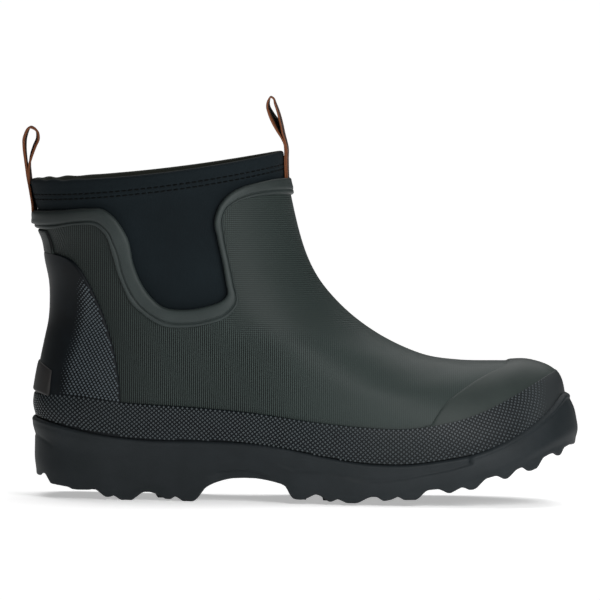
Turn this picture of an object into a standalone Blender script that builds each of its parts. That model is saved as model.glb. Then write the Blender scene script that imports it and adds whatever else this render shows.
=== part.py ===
"""Rubber ankle boot, right foot: neoprene bootie, rubber shell, overlays, lugged sole and pull loops.

Every piece of the upper is cut from one last surface. Its rows run from the sole (v = 0) to the
collar (v = 1), and theta runs round the boot from the heel (0) along the lateral side to the toe
(pi) and back along the medial side. Tables and functions are in millimetres, with x measured
forward from the back of the heel; only the finished meshes are in metres.
+X points to the toe, +Y to the medial side, +Z up, and the boot stands on z = 0.
"""
import math

import bmesh
import bpy
import numpy as np

MM = 0.001

# Driving dimensions, in millimetres
ORIGIN_FROM_HEEL = 147.66  # the frame's origin lies this far in front of the heel
ORIGIN_TO_MEDIAL = 5.37    # and this far to the medial side of the heel's centre line
SHELL_WALL = 1.7
BOOTIE_WALL = 2.8
LAYER_GAP = 0.4            # between one layer of the upper and the next
HEM_SINK = 1.3             # the collar hem lies this far inside the shell's face
SEAT_GAP = 0.3             # between the upper's bottom edge and the sole
OVERLAY_GAP = 0.5          # between the shell's face and the overlays on it
OVERLAY_THICKNESS = 1.1
TOE_SHIFT = 8.0            # the toe leans this far to the medial side
INSOLE_THICKNESS = 3.2
LUG_SINK = 1.6             # how far a lug's root reaches into the sole
RIBBON_WIDTH = 17.0
RIBBON_THICKNESS = 1.2

# How finely the surfaces are cut
HALF_ROUND = 24            # steps from heel to toe on one side
SHELL_TOP = 0.93           # the shell's top row, hidden under the edge band
HEM_START = 0.955          # above this row the bootie swells into its collar hem
SHELL_ROWS = (0, 0.06, 0.13, 0.2, 0.27, 0.34, 0.41, 0.48, 0.55, 0.62, 0.69, 0.76, 0.82, 0.88, SHELL_TOP)
BOOTIE_ROWS = SHELL_ROWS + (HEM_START, 1.0)

# Sections of the last: where each row meets the heel's back and the front line, how it runs
# between them, its half widths at four stations, and how much of its length each end is rounded.
SECTION_COLUMNS = (
    "v", "rear_x", "rear_z", "front_x", "front_z", "base_z", "rise", "follow", "heel",
    "waist_out", "waist_in", "ball_out", "ball_in", "tip_out", "tip_in", "rear_round", "front_round")
SECTIONS = np.array((
    (0.00, 3.0, 45.3, 295.3, 58.2, 40, 8.0, 1.0, 35.0, 39.0, 34.0, 50.0, 50.0, 43.0, 45.0, 0.155, 0.22),
    (0.06, 1.5, 52.0, 292.7, 69.4, 32, 9.0, 0.9, 36.0, 40.0, 36.0, 51.0, 51.0, 44.0, 45.5, 0.155, 0.22),
    (0.13, 2.8, 62.0, 286.7, 75.7, 38, 8.0, 0.7, 36.5, 40.5, 37.5, 51.0, 51.0, 44.0, 45.0, 0.165, 0.23),
    (0.20, 4.1, 73.0, 275.7, 79.3, 44, 7.0, 0.5, 36.0, 40.5, 38.5, 49.5, 49.5, 45.0, 45.5, 0.175, 0.26),
    (0.30, 6.5, 86.0, 259.6, 79.2, 52, 6.5, 0.25, 35.3, 40.0, 39.0, 47.0, 47.0, 44.0, 44.0, 0.185, 0.31),
    (0.40, 8.8, 98.0, 236.0, 79.3, 60, 6.0, 0.1, 34.8, 39.5, 39.0, 44.5, 44.0, 41.0, 41.0, 0.205, 0.37),
    (0.50, 9.3, 109.0, 214.8, 82.6, 70, 5.0, 0.0, 34.6, 39.0, 38.5, 42.0, 41.5, 37.0, 37.0, 0.23, 0.43),
    (0.60, 8.7, 120.0, 190.0, 94.0, 84, 4.0, 0.0, 35.0, 39.3, 38.8, 40.5, 40.5, 34.0, 34.0, 0.26, 0.48),
    (0.70, 6.3, 131.0, 168.8, 110.4, 102, 3.0, 0.0, 36.0, 40.3, 40.0, 40.2, 40.2, 33.0, 33.0, 0.305, 0.51),
    (0.80, 4.0, 143.0, 153.5, 130.5, 126, 3.0, 0.0, 37.3, 41.8, 41.5, 41.0, 41.0, 34.0, 34.0, 0.36, 0.52),
    (0.88, 0.0, 152.0, 145.3, 153.0, 152, 2.0, 0.0, 38.6, 43.2, 43.0, 42.0, 42.0, 36.0, 36.0, 0.40, 0.52),
    (0.94, -1.6, 159.0, 139.4, 179.0, 178, 2.0, 0.0, 39.6, 44.3, 44.0, 43.0, 43.0, 37.5, 37.5, 0.43, 0.51),
    (1.00, -5.2, 175.9, 138.0, 194.5, 180.5, 2.0, 0.0, 40.4, 45.0, 45.0, 44.0, 44.0, 38.5, 38.5, 0.45, 0.50)))
WIDTH_STATIONS = (0.1, 0.4, 0.7, 0.95)
END_POWER = 2.6

# The seat line where upper and sole meet, and the sole's underside between the lugs: x, z
SEAT_LINE = np.array((
    (0, 45.0), (10, 42.3), (37, 36.2), (65, 33.5), (93, 33.6), (121, 33.0), (138, 31.2), (161, 26.9),
    (184, 23.6), (206, 23.2), (229, 26.2), (244, 29.2), (263, 36.2), (280, 45.4), (291, 53.4), (300, 62.0)))
UNDERSIDE = np.array((
    (0, 16.0), (10, 10.0), (25, 6.5), (40, 5.2), (54, 4.8), (66, 4.8), (78, 4.8), (88, 5.2), (98, 8.8),
    (109, 12.9), (122, 13.7), (134, 12.2), (143, 8.4), (150, 6.0), (160, 5.6), (172, 5.2), (190, 5.2),
    (205, 6.0), (214, 7.8), (222, 9.8), (236, 11.4), (252, 16.6), (260, 18.2), (268, 22.0), (282, 29.3),
    (293, 34.0), (305, 37.0)))

# Steps of the sole's side: how far down the wall, and how far it stands out at heel, waist, ball and toe
SOLE_LEVELS = np.array((
    (0.00, 3.2, 2.0, 1.8, 3.0),
    (0.12, 3.6, 2.7, 2.2, 4.6),
    (0.32, 2.3, 2.7, 2.1, 7.0),
    (0.50, 2.2, 2.7, 2.1, 8.0),
    (0.56, 2.2, 2.7, 3.2, 8.2),
    (0.78, 2.1, 1.5, 3.1, 8.6),
    (1.00, 1.2, 1.2, 2.5, 7.3)))

# Lugs along both edges: start and end at the root, then the tread height at each end
EDGE_LUGS = (
    (7.5, 33.5, 8.6, 4.2), (37.5, 46.0, 1.3, 1.0), (47.5, 61.0, 0.0, 0.0), (66.0, 79.0, 0.0, 0.0),
    (80.5, 95.0, 0.0, 0.0), (143.5, 156.5, 0.5, 0.2), (158.5, 169.5, 0.0, 0.0), (171.0, 187.0, 0.0, 0.0),
    (191.0, 202.5, 0.6, 1.4), (204.0, 219.0, 2.0, 3.4), (225.5, 238.5, 5.6, 8.6), (240.0, 250.5, 8.6, 11.4),
    (257.5, 269.0, 14.0, 18.4), (272.0, 282.0, 19.6, 24.0), (285.0, 294.0, 26.0, 30.4))
EDGE_LUG_LENGTH = 25.0     # inward from the sole's edge
LUG_TAPER = 1.5            # each flank slants by this much
LUG_INSET = 0.2            # a lug's outer face lies this far inside the wall's lower edge
OUTER_DRAW = 0.5           # slant of a lug's outer face
CENTRE_LUG_HALF = 10.0     # half width of the lugs down the middle
CENTRE_LUG_INSET = 2.0     # a middle lug is shorter than the edge lugs of its row by this much at each end

# Edge of the overlays, seen from the side: x, z
FOXING_TOP = np.array((
    (0, 57.0), (16, 57.6), (48, 54.4), (93, 52.2), (121, 50.2), (160, 45.4), (184, 43.4), (206, 42.8),
    (220, 44.4), (246, 50.9), (268, 61.6), (285, 71.6), (291, 74.4)))
CAP_EDGE = np.array(((219.5, 43.0), (228.2, 56.1), (239.8, 65.5), (250.8, 72.0), (259.7, 76.2), (264.0, 79.2)))
COUNTER_EDGE = np.array((
    (12.5, 135.2), (18.5, 133.4), (23.2, 130.0), (28.0, 123.4), (36.0, 108.2), (41.0, 95.4), (45.0, 81.5),
    (48.2, 63.7), (48.8, 52.0)))

# The edge band from the back round the gore to the front: inner x, z and outer x, z
EDGE_BAND = np.array((
    (-5.0, 159.2, -5.0, 149.2), (15.2, 160.2, 10.0, 149.6), (29.1, 161.6, 24.0, 152.2),
    (37.0, 161.4, 33.0, 152.0), (43.6, 157.0, 38.6, 147.6), (50.6, 147.0, 42.6, 137.4),
    (54.8, 131.4, 47.7, 121.8), (65.2, 112.6, 55.5, 107.6), (74.0, 106.9, 71.1, 97.1),
    (84.0, 106.4, 83.5, 96.3), (96.0, 108.6, 97.6, 98.8), (103.8, 111.7, 107.0, 102.6),
    (107.0, 115.6, 113.0, 110.6), (106.2, 121.6, 110.9, 120.7), (104.2, 132.3, 108.2, 132.4),
    (100.9, 146.2, 104.8, 148.0), (99.2, 156.2, 104.0, 158.2), (101.2, 163.5, 106.4, 163.2),
    (105.4, 169.4, 111.8, 166.6), (113.0, 174.4, 119.6, 169.0), (124.4, 177.7, 128.0, 170.2),
    (150.0, 179.2, 150.0, 169.8)))
BAND_STEPS = 46
BAND_PROFILE = (
    (0.0, 0.6), (0.0, 1.9), (0.2, 2.5), (0.5, 1.9), (0.74, 2.3), (0.92, 1.3), (1.0, 0.6), (0.5, 0.6))

# Small plates on the back of the heel: half angle, lowest and highest z, inner and outer offset
BACK_STAY = (0.36, 137.6, 148.6, 0.5, 1.4)
KICK_TAB = (0.33, 58.4, 74.6, 2.0, 3.2)

# Pull loops: the ribbon's middle line from one sewn end over the top to the other, x and z
REAR_LOOP = np.array((
    (-2.9, 161.4), (-3.1, 164.0), (-3.5, 167.0), (-4.3, 171.6), (-5.5, 177.2), (-6.5, 182.8), (-7.2, 188.0),
    (-7.8, 193.5), (-7.7, 199.5), (-4.6, 205.2), (-0.9, 203.2), (-0.2, 199.0), (-2.0, 194.5), (-4.2, 188.0),
    (-4.7, 183.8), (-4.6, 180.0)))
FRONT_LOOP = np.array((
    (138.45, 180.6), (138.1, 188.0), (137.7, 196.0), (135.6, 202.5), (131.0, 211.0), (127.2, 218.4),
    (127.6, 223.2), (130.4, 223.6), (132.8, 219.0), (135.2, 211.6), (137.9, 203.0), (139.3, 196.0),
    (139.6, 188.0), (139.95, 180.6)))
LOOP_STEPS = 30

# Colours of the materials: red, green, blue, roughness
RUBBER_GREEN = (0.048, 0.060, 0.058, 0.62)
RUBBER_DARK = (0.030, 0.035, 0.037, 0.60)
SOLE_RUBBER = (0.026, 0.030, 0.033, 0.70)
NEOPRENE = (0.010, 0.014, 0.016, 0.90)
RIBBON = (0.10, 0.045, 0.025, 0.85)
FOOTBED = (0.020, 0.022, 0.024, 0.95)


def smooth_curve(knots, values, at):
    """A cubic curve through the values at the knots, with slopes taken from the neighbours."""
    at = np.clip(at, knots[0], knots[-1])
    left = np.clip(np.searchsorted(knots, at, side="right") - 1, 0, len(knots) - 2)
    slopes = np.gradient(values, knots)
    span = knots[left + 1] - knots[left]
    t = (at - knots[left]) / span
    start = (2 * t ** 3 - 3 * t ** 2 + 1) * values[left]
    leave = (t ** 3 - 2 * t ** 2 + t) * span * slopes[left]
    end = (3 * t ** 2 - 2 * t ** 3) * values[left + 1]
    arrive = (t ** 3 - t ** 2) * span * slopes[left + 1]
    return start + leave + end + arrive


def section(name, v):
    """One column of the section table, read smoothly at row v."""
    return smooth_curve(SECTIONS[:, 0], SECTIONS[:, SECTION_COLUMNS.index(name)], v)


def seat_z(x):
    """Height of the sole's top face."""
    return smooth_curve(SEAT_LINE[:, 0], SEAT_LINE[:, 1], x)


def underside_z(x):
    """Height of the sole's underside between the lugs."""
    return smooth_curve(UNDERSIDE[:, 0], UNDERSIDE[:, 1], x)


def ease(x, low, high):
    """A smooth step from 0 at low to 1 at high."""
    t = np.clip((x - low) / (high - low), 0, 1)
    return t * t * (3 - 2 * t)


def rounded_end(share):
    """Half-oval growth from 0 at an end to 1 where the rounding stops."""
    inward = 1 - np.clip(share, 0, 1)
    return (1 - inward ** END_POWER) ** (1 / END_POWER)


def side_place(along, v):
    """x and z of a row at a share of its way from the heel to the front line."""
    rear_x, front_x = section("rear_x", v), section("front_x", v)
    rear_z, front_z = section("rear_z", v), section("front_z", v)
    base_z, follow = section("base_z", v), section("follow", v)
    climb = along ** section("rise", v)
    x = rear_x + (front_x - rear_x) * along
    straight = rear_z + (base_z - rear_z) * along + (front_z - base_z) * climb
    parallel = seat_z(x) + (rear_z - seat_z(rear_x)) * (1 - along) + (front_z - seat_z(front_x)) * climb
    return x, straight + (parallel - straight) * follow


def half_width(along, v, lateral):
    """Width from the boot's centre line: a cubic through four stations, rounded at both ends."""
    names = ("heel", "waist_out", "ball_out", "tip_out")
    inner_names = ("heel", "waist_in", "ball_in", "tip_in")
    width = np.zeros(np.broadcast(along, v).shape)
    for i, station in enumerate(WIDTH_STATIONS):
        share = 1.0
        for other in WIDTH_STATIONS:
            if other != station:
                share = share * (along - other) / (station - other)
        width = width + share * np.where(lateral, section(names[i], v), section(inner_names[i], v))
    rear = rounded_end(along / section("rear_round", v))
    front = rounded_end((1 - along) / section("front_round", v))
    return width * rear * front


def last_surface(theta, v):
    """Points of the last: the shell's outer face."""
    theta, v = np.broadcast_arrays(np.asarray(theta, float), np.asarray(v, float))
    along = (1 - np.cos(theta)) / 2
    lateral = np.sin(theta) > 0
    x, z = side_place(along, v)
    centre = TOE_SHIFT * ease(x, 140, 300)
    y = centre + np.where(lateral, -1, 1) * half_width(along, v, lateral)
    return np.stack((x, y, z), axis=-1)


def last_normal(theta, v):
    """Outward direction of the last, from small steps along theta and v."""
    step = 0.004
    around = last_surface(theta + step, v) - last_surface(theta - step, v)
    up = last_surface(theta, np.minimum(v + step, 1)) - last_surface(theta, np.maximum(v - step, 0))
    normal = np.cross(around, up)
    return normal / np.linalg.norm(normal, axis=-1, keepdims=True)


def layer(theta, v, offset):
    """The last moved out by offset; its bottom row stays on the seat line."""
    points = last_surface(theta, v) + last_normal(theta, v) * np.asarray(offset)[..., None]
    on_seat = np.broadcast_to(v, points.shape[:-1]) <= 0
    points[..., 2] = np.where(on_seat, seat_z(points[..., 0]) + SEAT_GAP, points[..., 2])
    return points


def place_on_last(x, z):
    """theta and v of the lateral point that shows at x, z from the side, by halving v."""
    low = np.zeros(np.shape(x))
    high = np.ones(np.shape(x))
    for _ in range(40):
        v = (low + high) / 2
        rear_x, front_x = section("rear_x", v), section("front_x", v)
        along = np.clip((x - rear_x) / (front_x - rear_x), 0, 1)
        above = side_place(along, v)[1] > z
        above = above | ((x > front_x) & (front_x > 150))
        high = np.where(above, v, high)
        low = np.where(above, low, v)
    return np.arccos(1 - 2 * along), v


def v_at_height(theta, height_of_x):
    """Row where each column of the last crosses a line given as a height over x."""
    low = np.zeros(np.shape(theta))
    high = np.ones(np.shape(theta))
    along = (1 - np.cos(theta)) / 2
    for _ in range(40):
        v = (low + high) / 2
        x, z = side_place(along, v)
        above = z > height_of_x(x)
        high = np.where(above, v, high)
        low = np.where(above, low, v)
    return v


def foxing_z(x):
    """Height of the foxing band's top edge."""
    return smooth_curve(FOXING_TOP[:, 0], FOXING_TOP[:, 1], x)


def grid_faces(rows, columns, closed):
    """Triangles of a grid of points, all split the same way, joined round the columns when closed."""
    faces = []
    for r in range(rows - 1):
        low, high = r * columns, (r + 1) * columns
        for c in range(columns if closed else columns - 1):
            d = (c + 1) % columns
            faces.append((low + c, low + d, high + d))
            faces.append((low + c, high + d, high + c))
    return faces


def sheet_solid(outer, inner, closed):
    """Points and faces of a wall between two grids of the same size, with its rims."""
    rows, columns = outer.shape[:2]
    count = rows * columns
    front = grid_faces(rows, columns, closed)
    faces = front + [tuple(count + i for i in reversed(face)) for face in front]
    last = columns if closed else columns - 1
    for c in range(last):
        d = (c + 1) % columns
        top = (rows - 1) * columns
        faces.append((d, c, count + c, count + d))
        faces.append((top + c, top + d, count + top + d, count + top + c))
    if not closed:
        for r in range(rows - 1):
            a, b = r * columns, (r + 1) * columns
            faces.append((a, b, count + b, count + a))
            a, b = a + columns - 1, b + columns - 1
            faces.append((b, a, count + a, count + b))
    return np.concatenate((outer.reshape(-1, 3), inner.reshape(-1, 3))), faces


def material_for(name, look):
    """A plain shader with the piece's colour and roughness."""
    material = bpy.data.materials.new(name)
    material.use_nodes = True
    shader = material.node_tree.nodes["Principled BSDF"]
    shader.inputs["Base Color"].default_value = (look[0], look[1], look[2], 1)
    shader.inputs["Roughness"].default_value = look[3]
    shader.inputs["Metallic"].default_value = 0
    return material


def to_frame(points):
    """Table millimetres to the frame's metres."""
    return (np.asarray(points, float) - (ORIGIN_FROM_HEEL, ORIGIN_TO_MEDIAL, 0)) * MM


def add_piece(name, points, faces, look, collection):
    """A named object with its own material, made of the given points and faces."""
    mesh = bpy.data.meshes.new(name)
    mesh.from_pydata(to_frame(points).tolist(), [], faces)
    mesh.shade_smooth()
    mesh.set_sharp_from_angle(angle=math.radians(40))
    piece = bpy.data.objects.new(name, mesh)
    collection.objects.link(piece)
    if look:
        mesh.materials.append(material_for(name, look))
    return piece


def add_cutter(name, points, faces, collection):
    """A hidden shape for a boolean."""
    cutter = add_piece(name, points, faces, None, collection)
    cutter.hide_render = True
    cutter.display_type = "WIRE"
    return cutter


def boolean(piece, cutter, operation):
    """Cut or join a piece with a closed shape."""
    modifier = piece.modifiers.new(cutter.name, "BOOLEAN")
    modifier.operation = operation
    modifier.solver = "EXACT"
    modifier.object = cutter


def ring_angles():
    """Angles once round the boot."""
    return np.arange(2 * HALF_ROUND) * math.pi / HALF_ROUND


def make_bootie(parts):
    """The upper: a hollow neoprene wall from the sole to the collar, thicker at its hem."""
    theta, v = np.meshgrid(ring_angles(), np.array(BOOTIE_ROWS))
    under_shell = -(SHELL_WALL + LAYER_GAP)
    outer_offset = np.where(v >= HEM_START, -HEM_SINK, under_shell)
    inner_offset = np.full(v.shape, under_shell - BOOTIE_WALL)
    points, faces = sheet_solid(layer(theta, v, outer_offset), layer(theta, v, inner_offset), True)
    add_piece("neoprene_bootie", points, faces, NEOPRENE, parts)


def band_path(steps):
    """theta and v of the band's inner and outer edges, from the back to the front, evenly stepped."""
    inner = place_on_last(EDGE_BAND[:, 0], EDGE_BAND[:, 1])
    outer = place_on_last(EDGE_BAND[:, 2], EDGE_BAND[:, 3])
    middle = last_surface((inner[0] + outer[0]) / 2, (inner[1] + outer[1]) / 2)
    travel = np.concatenate(((0,), np.cumsum(np.linalg.norm(np.diff(middle, axis=0), axis=1))))
    even = np.linspace(0, travel[-1], steps)
    return [smooth_curve(travel, column, even) for column in (*inner, *outer)]


def make_shell(parts, cutters):
    """The rubber skin over the bootie, cut out at both gores along the edge band."""
    theta, v = np.meshgrid(ring_angles(), np.array(SHELL_ROWS))
    outer = layer(theta, v, np.zeros(v.shape))
    inner = layer(theta, v, np.full(v.shape, -SHELL_WALL))
    points, faces = sheet_solid(outer, inner, True)
    shell = add_piece("rubber_shell", points, faces, RUBBER_GREEN, parts)
    under_band = 0.15
    in_theta, in_v, out_theta, out_v = band_path(BAND_STEPS)
    edge = last_surface(in_theta + (out_theta - in_theta) * under_band, in_v + (out_v - in_v) * under_band)
    gore = edge[(edge[:, 0] > 26) & (edge[:, 0] < 127)]
    outline = [(26, 215)] + [(x, z) for x, _, z in gore] + [(127, 215)]
    reach = 90
    count = len(outline)
    prism = [(x, side * reach, z) for side in (-1, 1) for x, z in outline]
    walls = [(i, (i + 1) % count, count + (i + 1) % count, count + i) for i in range(count)]
    caps = [tuple(range(count - 1, -1, -1)), tuple(range(count, 2 * count))]
    cutter = add_cutter("gore_cutter", prism, walls + caps, cutters)
    make_normals_outward(cutter)
    boolean(shell, cutter, "DIFFERENCE")


def make_normals_outward(piece):
    """Turn all faces of a closed mesh outward."""
    mesh = bmesh.new()
    mesh.from_mesh(piece.data)
    bmesh.ops.recalc_face_normals(mesh, faces=mesh.faces)
    mesh.to_mesh(piece.data)
    mesh.free()


def make_band(parts):
    """The raised welt along the shell's top edge: a profile carried round both sides."""
    in_theta, in_v, out_theta, out_v = band_path(BAND_STEPS)
    rows = []
    for across, height in BAND_PROFILE:
        theta = in_theta + (out_theta - in_theta) * across
        v = in_v + (out_v - in_v) * across
        theta = np.concatenate((theta, 2 * math.pi - theta[-2:0:-1]))
        v = np.concatenate((v, v[-2:0:-1]))
        rows.append(layer(theta, v, np.full(v.shape, height)))
    rows = np.array(rows)
    columns = rows.shape[1]
    faces = grid_faces(len(rows), columns, True)
    bottom = (len(rows) - 1) * columns
    faces += [(bottom + c, bottom + (c + 1) % columns, (c + 1) % columns, c) for c in range(columns)]
    band = add_piece("edge_band", rows.reshape(-1, 3), faces, RUBBER_DARK, parts)
    make_normals_outward(band)


def make_foxing(parts):
    """The textured band round the boot above the sole."""
    theta = ring_angles()
    top = v_at_height(theta, foxing_z)
    v = np.linspace(0, 1, 5)[:, None] * top
    theta = np.broadcast_to(theta, v.shape)
    inner = layer(theta, v, np.full(v.shape, OVERLAY_GAP))
    outer = layer(theta, v, np.full(v.shape, OVERLAY_GAP + OVERLAY_THICKNESS))
    points, faces = sheet_solid(outer, inner, True)
    add_piece("foxing_band", points, faces, RUBBER_DARK, parts)


def make_toe_cap(parts):
    """The overlay on the toe, between the foxing band and its own rear edge."""
    edge_theta, edge_v = place_on_last(CAP_EDGE[:, 0], CAP_EDGE[:, 1])
    edge_theta[-1] = math.pi
    theta = np.linspace(edge_theta[0], math.pi, 13)
    low = v_at_height(theta, lambda x: foxing_z(x) + SEAT_GAP)
    high = np.maximum(smooth_curve(edge_theta, edge_v, theta), low + 0.012)
    theta = np.concatenate((theta, 2 * math.pi - theta[-2::-1]))
    low = np.concatenate((low, low[-2::-1]))
    high = np.concatenate((high, high[-2::-1]))
    shares = np.linspace(0, 1, 6)[:, None]
    v = low + (high - low) * shares
    theta = np.broadcast_to(theta, v.shape)
    inner = layer(theta, v, np.full(v.shape, OVERLAY_GAP))
    outer = layer(theta, v, np.full(v.shape, OVERLAY_GAP + OVERLAY_THICKNESS))
    points, faces = sheet_solid(outer, inner, False)
    add_piece("toe_cap", points, faces, RUBBER_GREEN, parts)


def make_counter(parts):
    """The textured overlay on the heel, from the foxing band up to its rounded top."""
    edge_theta, edge_v = place_on_last(COUNTER_EDGE[:, 0], COUNTER_EDGE[:, 1])
    heights = np.linspace(0, 1, 10)
    path = np.linspace(0, 1, len(edge_v))
    reach = smooth_curve(path, edge_theta[::-1], heights)
    reach_v = smooth_curve(path, edge_v[::-1], heights)
    shares = np.linspace(-1, 1, 19)
    theta = reach[:, None] * shares
    foxing = v_at_height(theta[0], lambda x: foxing_z(x) + SEAT_GAP)
    climb = ((reach_v - reach_v[0]) / (reach_v[-1] - reach_v[0]))[:, None]
    v = foxing + (reach_v[-1] - foxing) * climb
    inner = layer(theta, v, np.full(v.shape, OVERLAY_GAP))
    outer = layer(theta, v, np.full(v.shape, OVERLAY_GAP + OVERLAY_THICKNESS))
    points, faces = sheet_solid(outer, inner, False)
    add_piece("heel_counter", points, faces, RUBBER_DARK, parts)


def make_back_plate(name, plate, look, parts):
    """A small plate on the back of the heel, bent round it."""
    half_angle, low_z, high_z, inner_offset, outer_offset = plate
    levels = np.linspace(low_z, high_z, 4)
    _, rows = place_on_last(np.full(4, -5.0), levels)
    theta, v = np.meshgrid(np.linspace(-half_angle, half_angle, 9), rows)
    inner = layer(theta, v, np.full(v.shape, inner_offset))
    outer = layer(theta, v, np.full(v.shape, outer_offset))
    points, faces = sheet_solid(outer, inner, False)
    add_piece(name, points, faces, look, parts)


def footprint(offset):
    """Plan outline of the last at the seat, moved outward by offset."""
    theta = ring_angles()
    outline = last_surface(theta, np.zeros(theta.shape))[:, :2]
    tangent = np.roll(outline, -1, axis=0) - np.roll(outline, 1, axis=0)
    outward = np.stack((tangent[:, 1], -tangent[:, 0]), axis=1)
    outward /= np.linalg.norm(outward, axis=1, keepdims=True)
    return outline + outward * np.asarray(offset)[..., None]


def ladder(first, count):
    """Faces across a ring of points, from heel to toe, between its two sides."""
    half = count // 2
    faces = [(first, first + 1, first + count - 1)]
    for i in range(1, half - 1):
        faces.append((first + i, first + i + 1, first + count - i - 1, first + count - i))
    faces.append((first + half - 1, first + half, first + half + 1))
    return faces


def sole_level(level):
    """One ring of the sole's side: further out at the toe, stepped along the side."""
    fall, heel_out, waist_out, ball_out, toe_out = level
    plan = footprint(np.zeros(2 * HALF_ROUND))
    x = plan[:, 0]
    out = heel_out + (waist_out - heel_out) * ease(x, 20, 90)
    out = out + (ball_out - waist_out) * ease(x, 125, 150)
    out = out + (toe_out - ball_out) * ease(x, 225, 292)
    plan = footprint(out)
    top, bottom = seat_z(plan[:, 0]), underside_z(plan[:, 0])
    return np.column_stack((plan, top + (bottom - top) * fall))


def block(corners_low, corners_high):
    """Points and faces of a six-sided block between two four-cornered ends."""
    points = list(corners_low) + list(corners_high)
    faces = [(3, 2, 1, 0), (4, 5, 6, 7)]
    faces += [(i, (i + 1) % 4, 4 + (i + 1) % 4, 4 + i) for i in range(4)]
    return points, faces


def edge_width(x, side):
    """Distance of the sole's lower edge from the centre line at x, on one side."""
    ring = sole_level(SOLE_LEVELS[-1])
    half = ring[:HALF_ROUND + 1] if side < 0 else np.roll(ring[::-1], 1, axis=0)[:HALF_ROUND + 1]
    return np.interp(x, half[:, 0], half[:, 1])


def lug_blocks():
    """Tapered blocks along both edges of the sole, and down its middle in line with them.

    The photo shows light between the lugs, so no middle lug stands in a gap."""
    blocks = []
    rows = []
    for side in (-1, 1):
        for start, end, tread_start, tread_end in EDGE_LUGS:
            outer = [edge_width(x, side) - side * LUG_INSET for x in (start, end)]
            inner = [y - side * min(EDGE_LUG_LENGTH, abs(y) - CENTRE_LUG_HALF - 4) for y in outer]
            rows.append((start, end, tread_start, tread_end, outer, inner, side, OUTER_DRAW))
    for start, end, tread_start, tread_end in EDGE_LUGS[2:-2]:
        middle = TOE_SHIFT * float(ease((start + end) / 2, 140, 300))
        outer = [middle + CENTRE_LUG_HALF] * 2
        inner = [middle - CENTRE_LUG_HALF] * 2
        first, last = start + CENTRE_LUG_INSET, end - CENTRE_LUG_INSET
        rows.append((first, last, tread_start, tread_end, outer, inner, 1, LUG_TAPER))
    for start, end, tread_start, tread_end, outer, inner, side, outer_draw in rows:
        root = [float(underside_z(x)) + LUG_SINK for x in (start, end)]
        first, last = start + LUG_TAPER, end - LUG_TAPER
        near, far = side * LUG_TAPER, side * outer_draw
        low = [(first, inner[0] + near, tread_start), (last, inner[1] + near, tread_end),
               (last, outer[1] - far, tread_end), (first, outer[0] - far, tread_start)]
        high = [(start, inner[0], root[0]), (end, inner[1], root[1]),
                (end, outer[1], root[1]), (start, outer[0], root[0])]
        blocks.append(block(low, high))
    return blocks


def make_outsole(parts, cutters):
    """The moulded sole: rings of its side, flat across above and below, with the lugs joined on."""
    rings = np.array([sole_level(level) for level in SOLE_LEVELS])
    count = 2 * HALF_ROUND
    faces = [tuple(reversed(face)) for face in grid_faces(len(rings), count, True)]
    faces += ladder(0, count)
    faces += [tuple(reversed(face)) for face in ladder((len(rings) - 1) * count, count)]
    sole = add_piece("outsole", rings.reshape(-1, 3), faces, SOLE_RUBBER, parts)
    make_normals_outward(sole)
    points, lug_faces = [], []
    for block_points, block_faces in lug_blocks():
        first = len(points)
        points += block_points
        lug_faces += [tuple(first + i for i in face) for face in block_faces]
    lugs = add_cutter("lug_blocks", points, lug_faces, cutters)
    make_normals_outward(lugs)
    boolean(sole, lugs, "UNION")


def make_insole(parts):
    """The footbed inside the bootie, flat across and dished along the seat line."""
    clear = SHELL_WALL + LAYER_GAP + BOOTIE_WALL + 0.9
    plan = footprint(np.full(2 * HALF_ROUND, -clear))
    seat = seat_z(plan[:, 0]) + SEAT_GAP
    low = np.column_stack((plan, seat))
    high = np.column_stack((plan, seat + INSOLE_THICKNESS))
    count = 2 * HALF_ROUND
    faces = grid_faces(2, count, True)
    faces += [tuple(reversed(face)) for face in ladder(0, count)]
    faces += ladder(count, count)
    insole = add_piece("insole", np.concatenate((low, high)), faces, FOOTBED, parts)
    make_normals_outward(insole)


def make_loop(name, route, parts):
    """A folded ribbon: a flat strip carried along its route in the boot's middle plane."""
    travel = np.concatenate(((0,), np.cumsum(np.linalg.norm(np.diff(route, axis=0), axis=1))))
    even = np.linspace(0, travel[-1], LOOP_STEPS)
    x = smooth_curve(travel, route[:, 0], even)
    z = smooth_curve(travel, route[:, 1], even)
    tangent = np.stack((np.gradient(x), np.gradient(z)), axis=1)
    tangent /= np.linalg.norm(tangent, axis=1, keepdims=True)
    half = RIBBON_THICKNESS / 2
    half_wide = RIBBON_WIDTH / 2
    corners = ((half, -half_wide), (half, half_wide), (-half, half_wide), (-half, -half_wide))
    rings = np.array([np.column_stack((x - tangent[:, 1] * out, np.full(x.shape, wide), z + tangent[:, 0] * out))
                      for out, wide in corners])
    points = rings.transpose(1, 0, 2).reshape(-1, 3)
    faces = grid_faces(LOOP_STEPS, 4, True)
    end = 4 * (LOOP_STEPS - 1)
    faces += [(3, 2, 1, 0), (end, end + 1, end + 2, end + 3)]
    loop = add_piece(name, points, faces, RIBBON, parts)
    make_normals_outward(loop)


def main():
    """Build the boot in an empty scene."""
    for old in list(bpy.data.objects):
        bpy.data.objects.remove(old, do_unlink=True)
    parts = bpy.data.collections.new("rubber_ankle_boot")
    cutters = bpy.data.collections.new("cutters")
    bpy.context.scene.collection.children.link(parts)
    bpy.context.scene.collection.children.link(cutters)
    make_outsole(parts, cutters)
    make_insole(parts)
    make_bootie(parts)
    make_shell(parts, cutters)
    make_band(parts)
    make_foxing(parts)
    make_toe_cap(parts)
    make_counter(parts)
    make_back_plate("back_stay", BACK_STAY, RUBBER_GREEN, parts)
    make_back_plate("heel_kick_tab", KICK_TAB, RUBBER_DARK, parts)
    make_loop("rear_pull_loop", REAR_LOOP, parts)
    make_loop("front_pull_loop", FRONT_LOOP, parts)


main()
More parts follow.
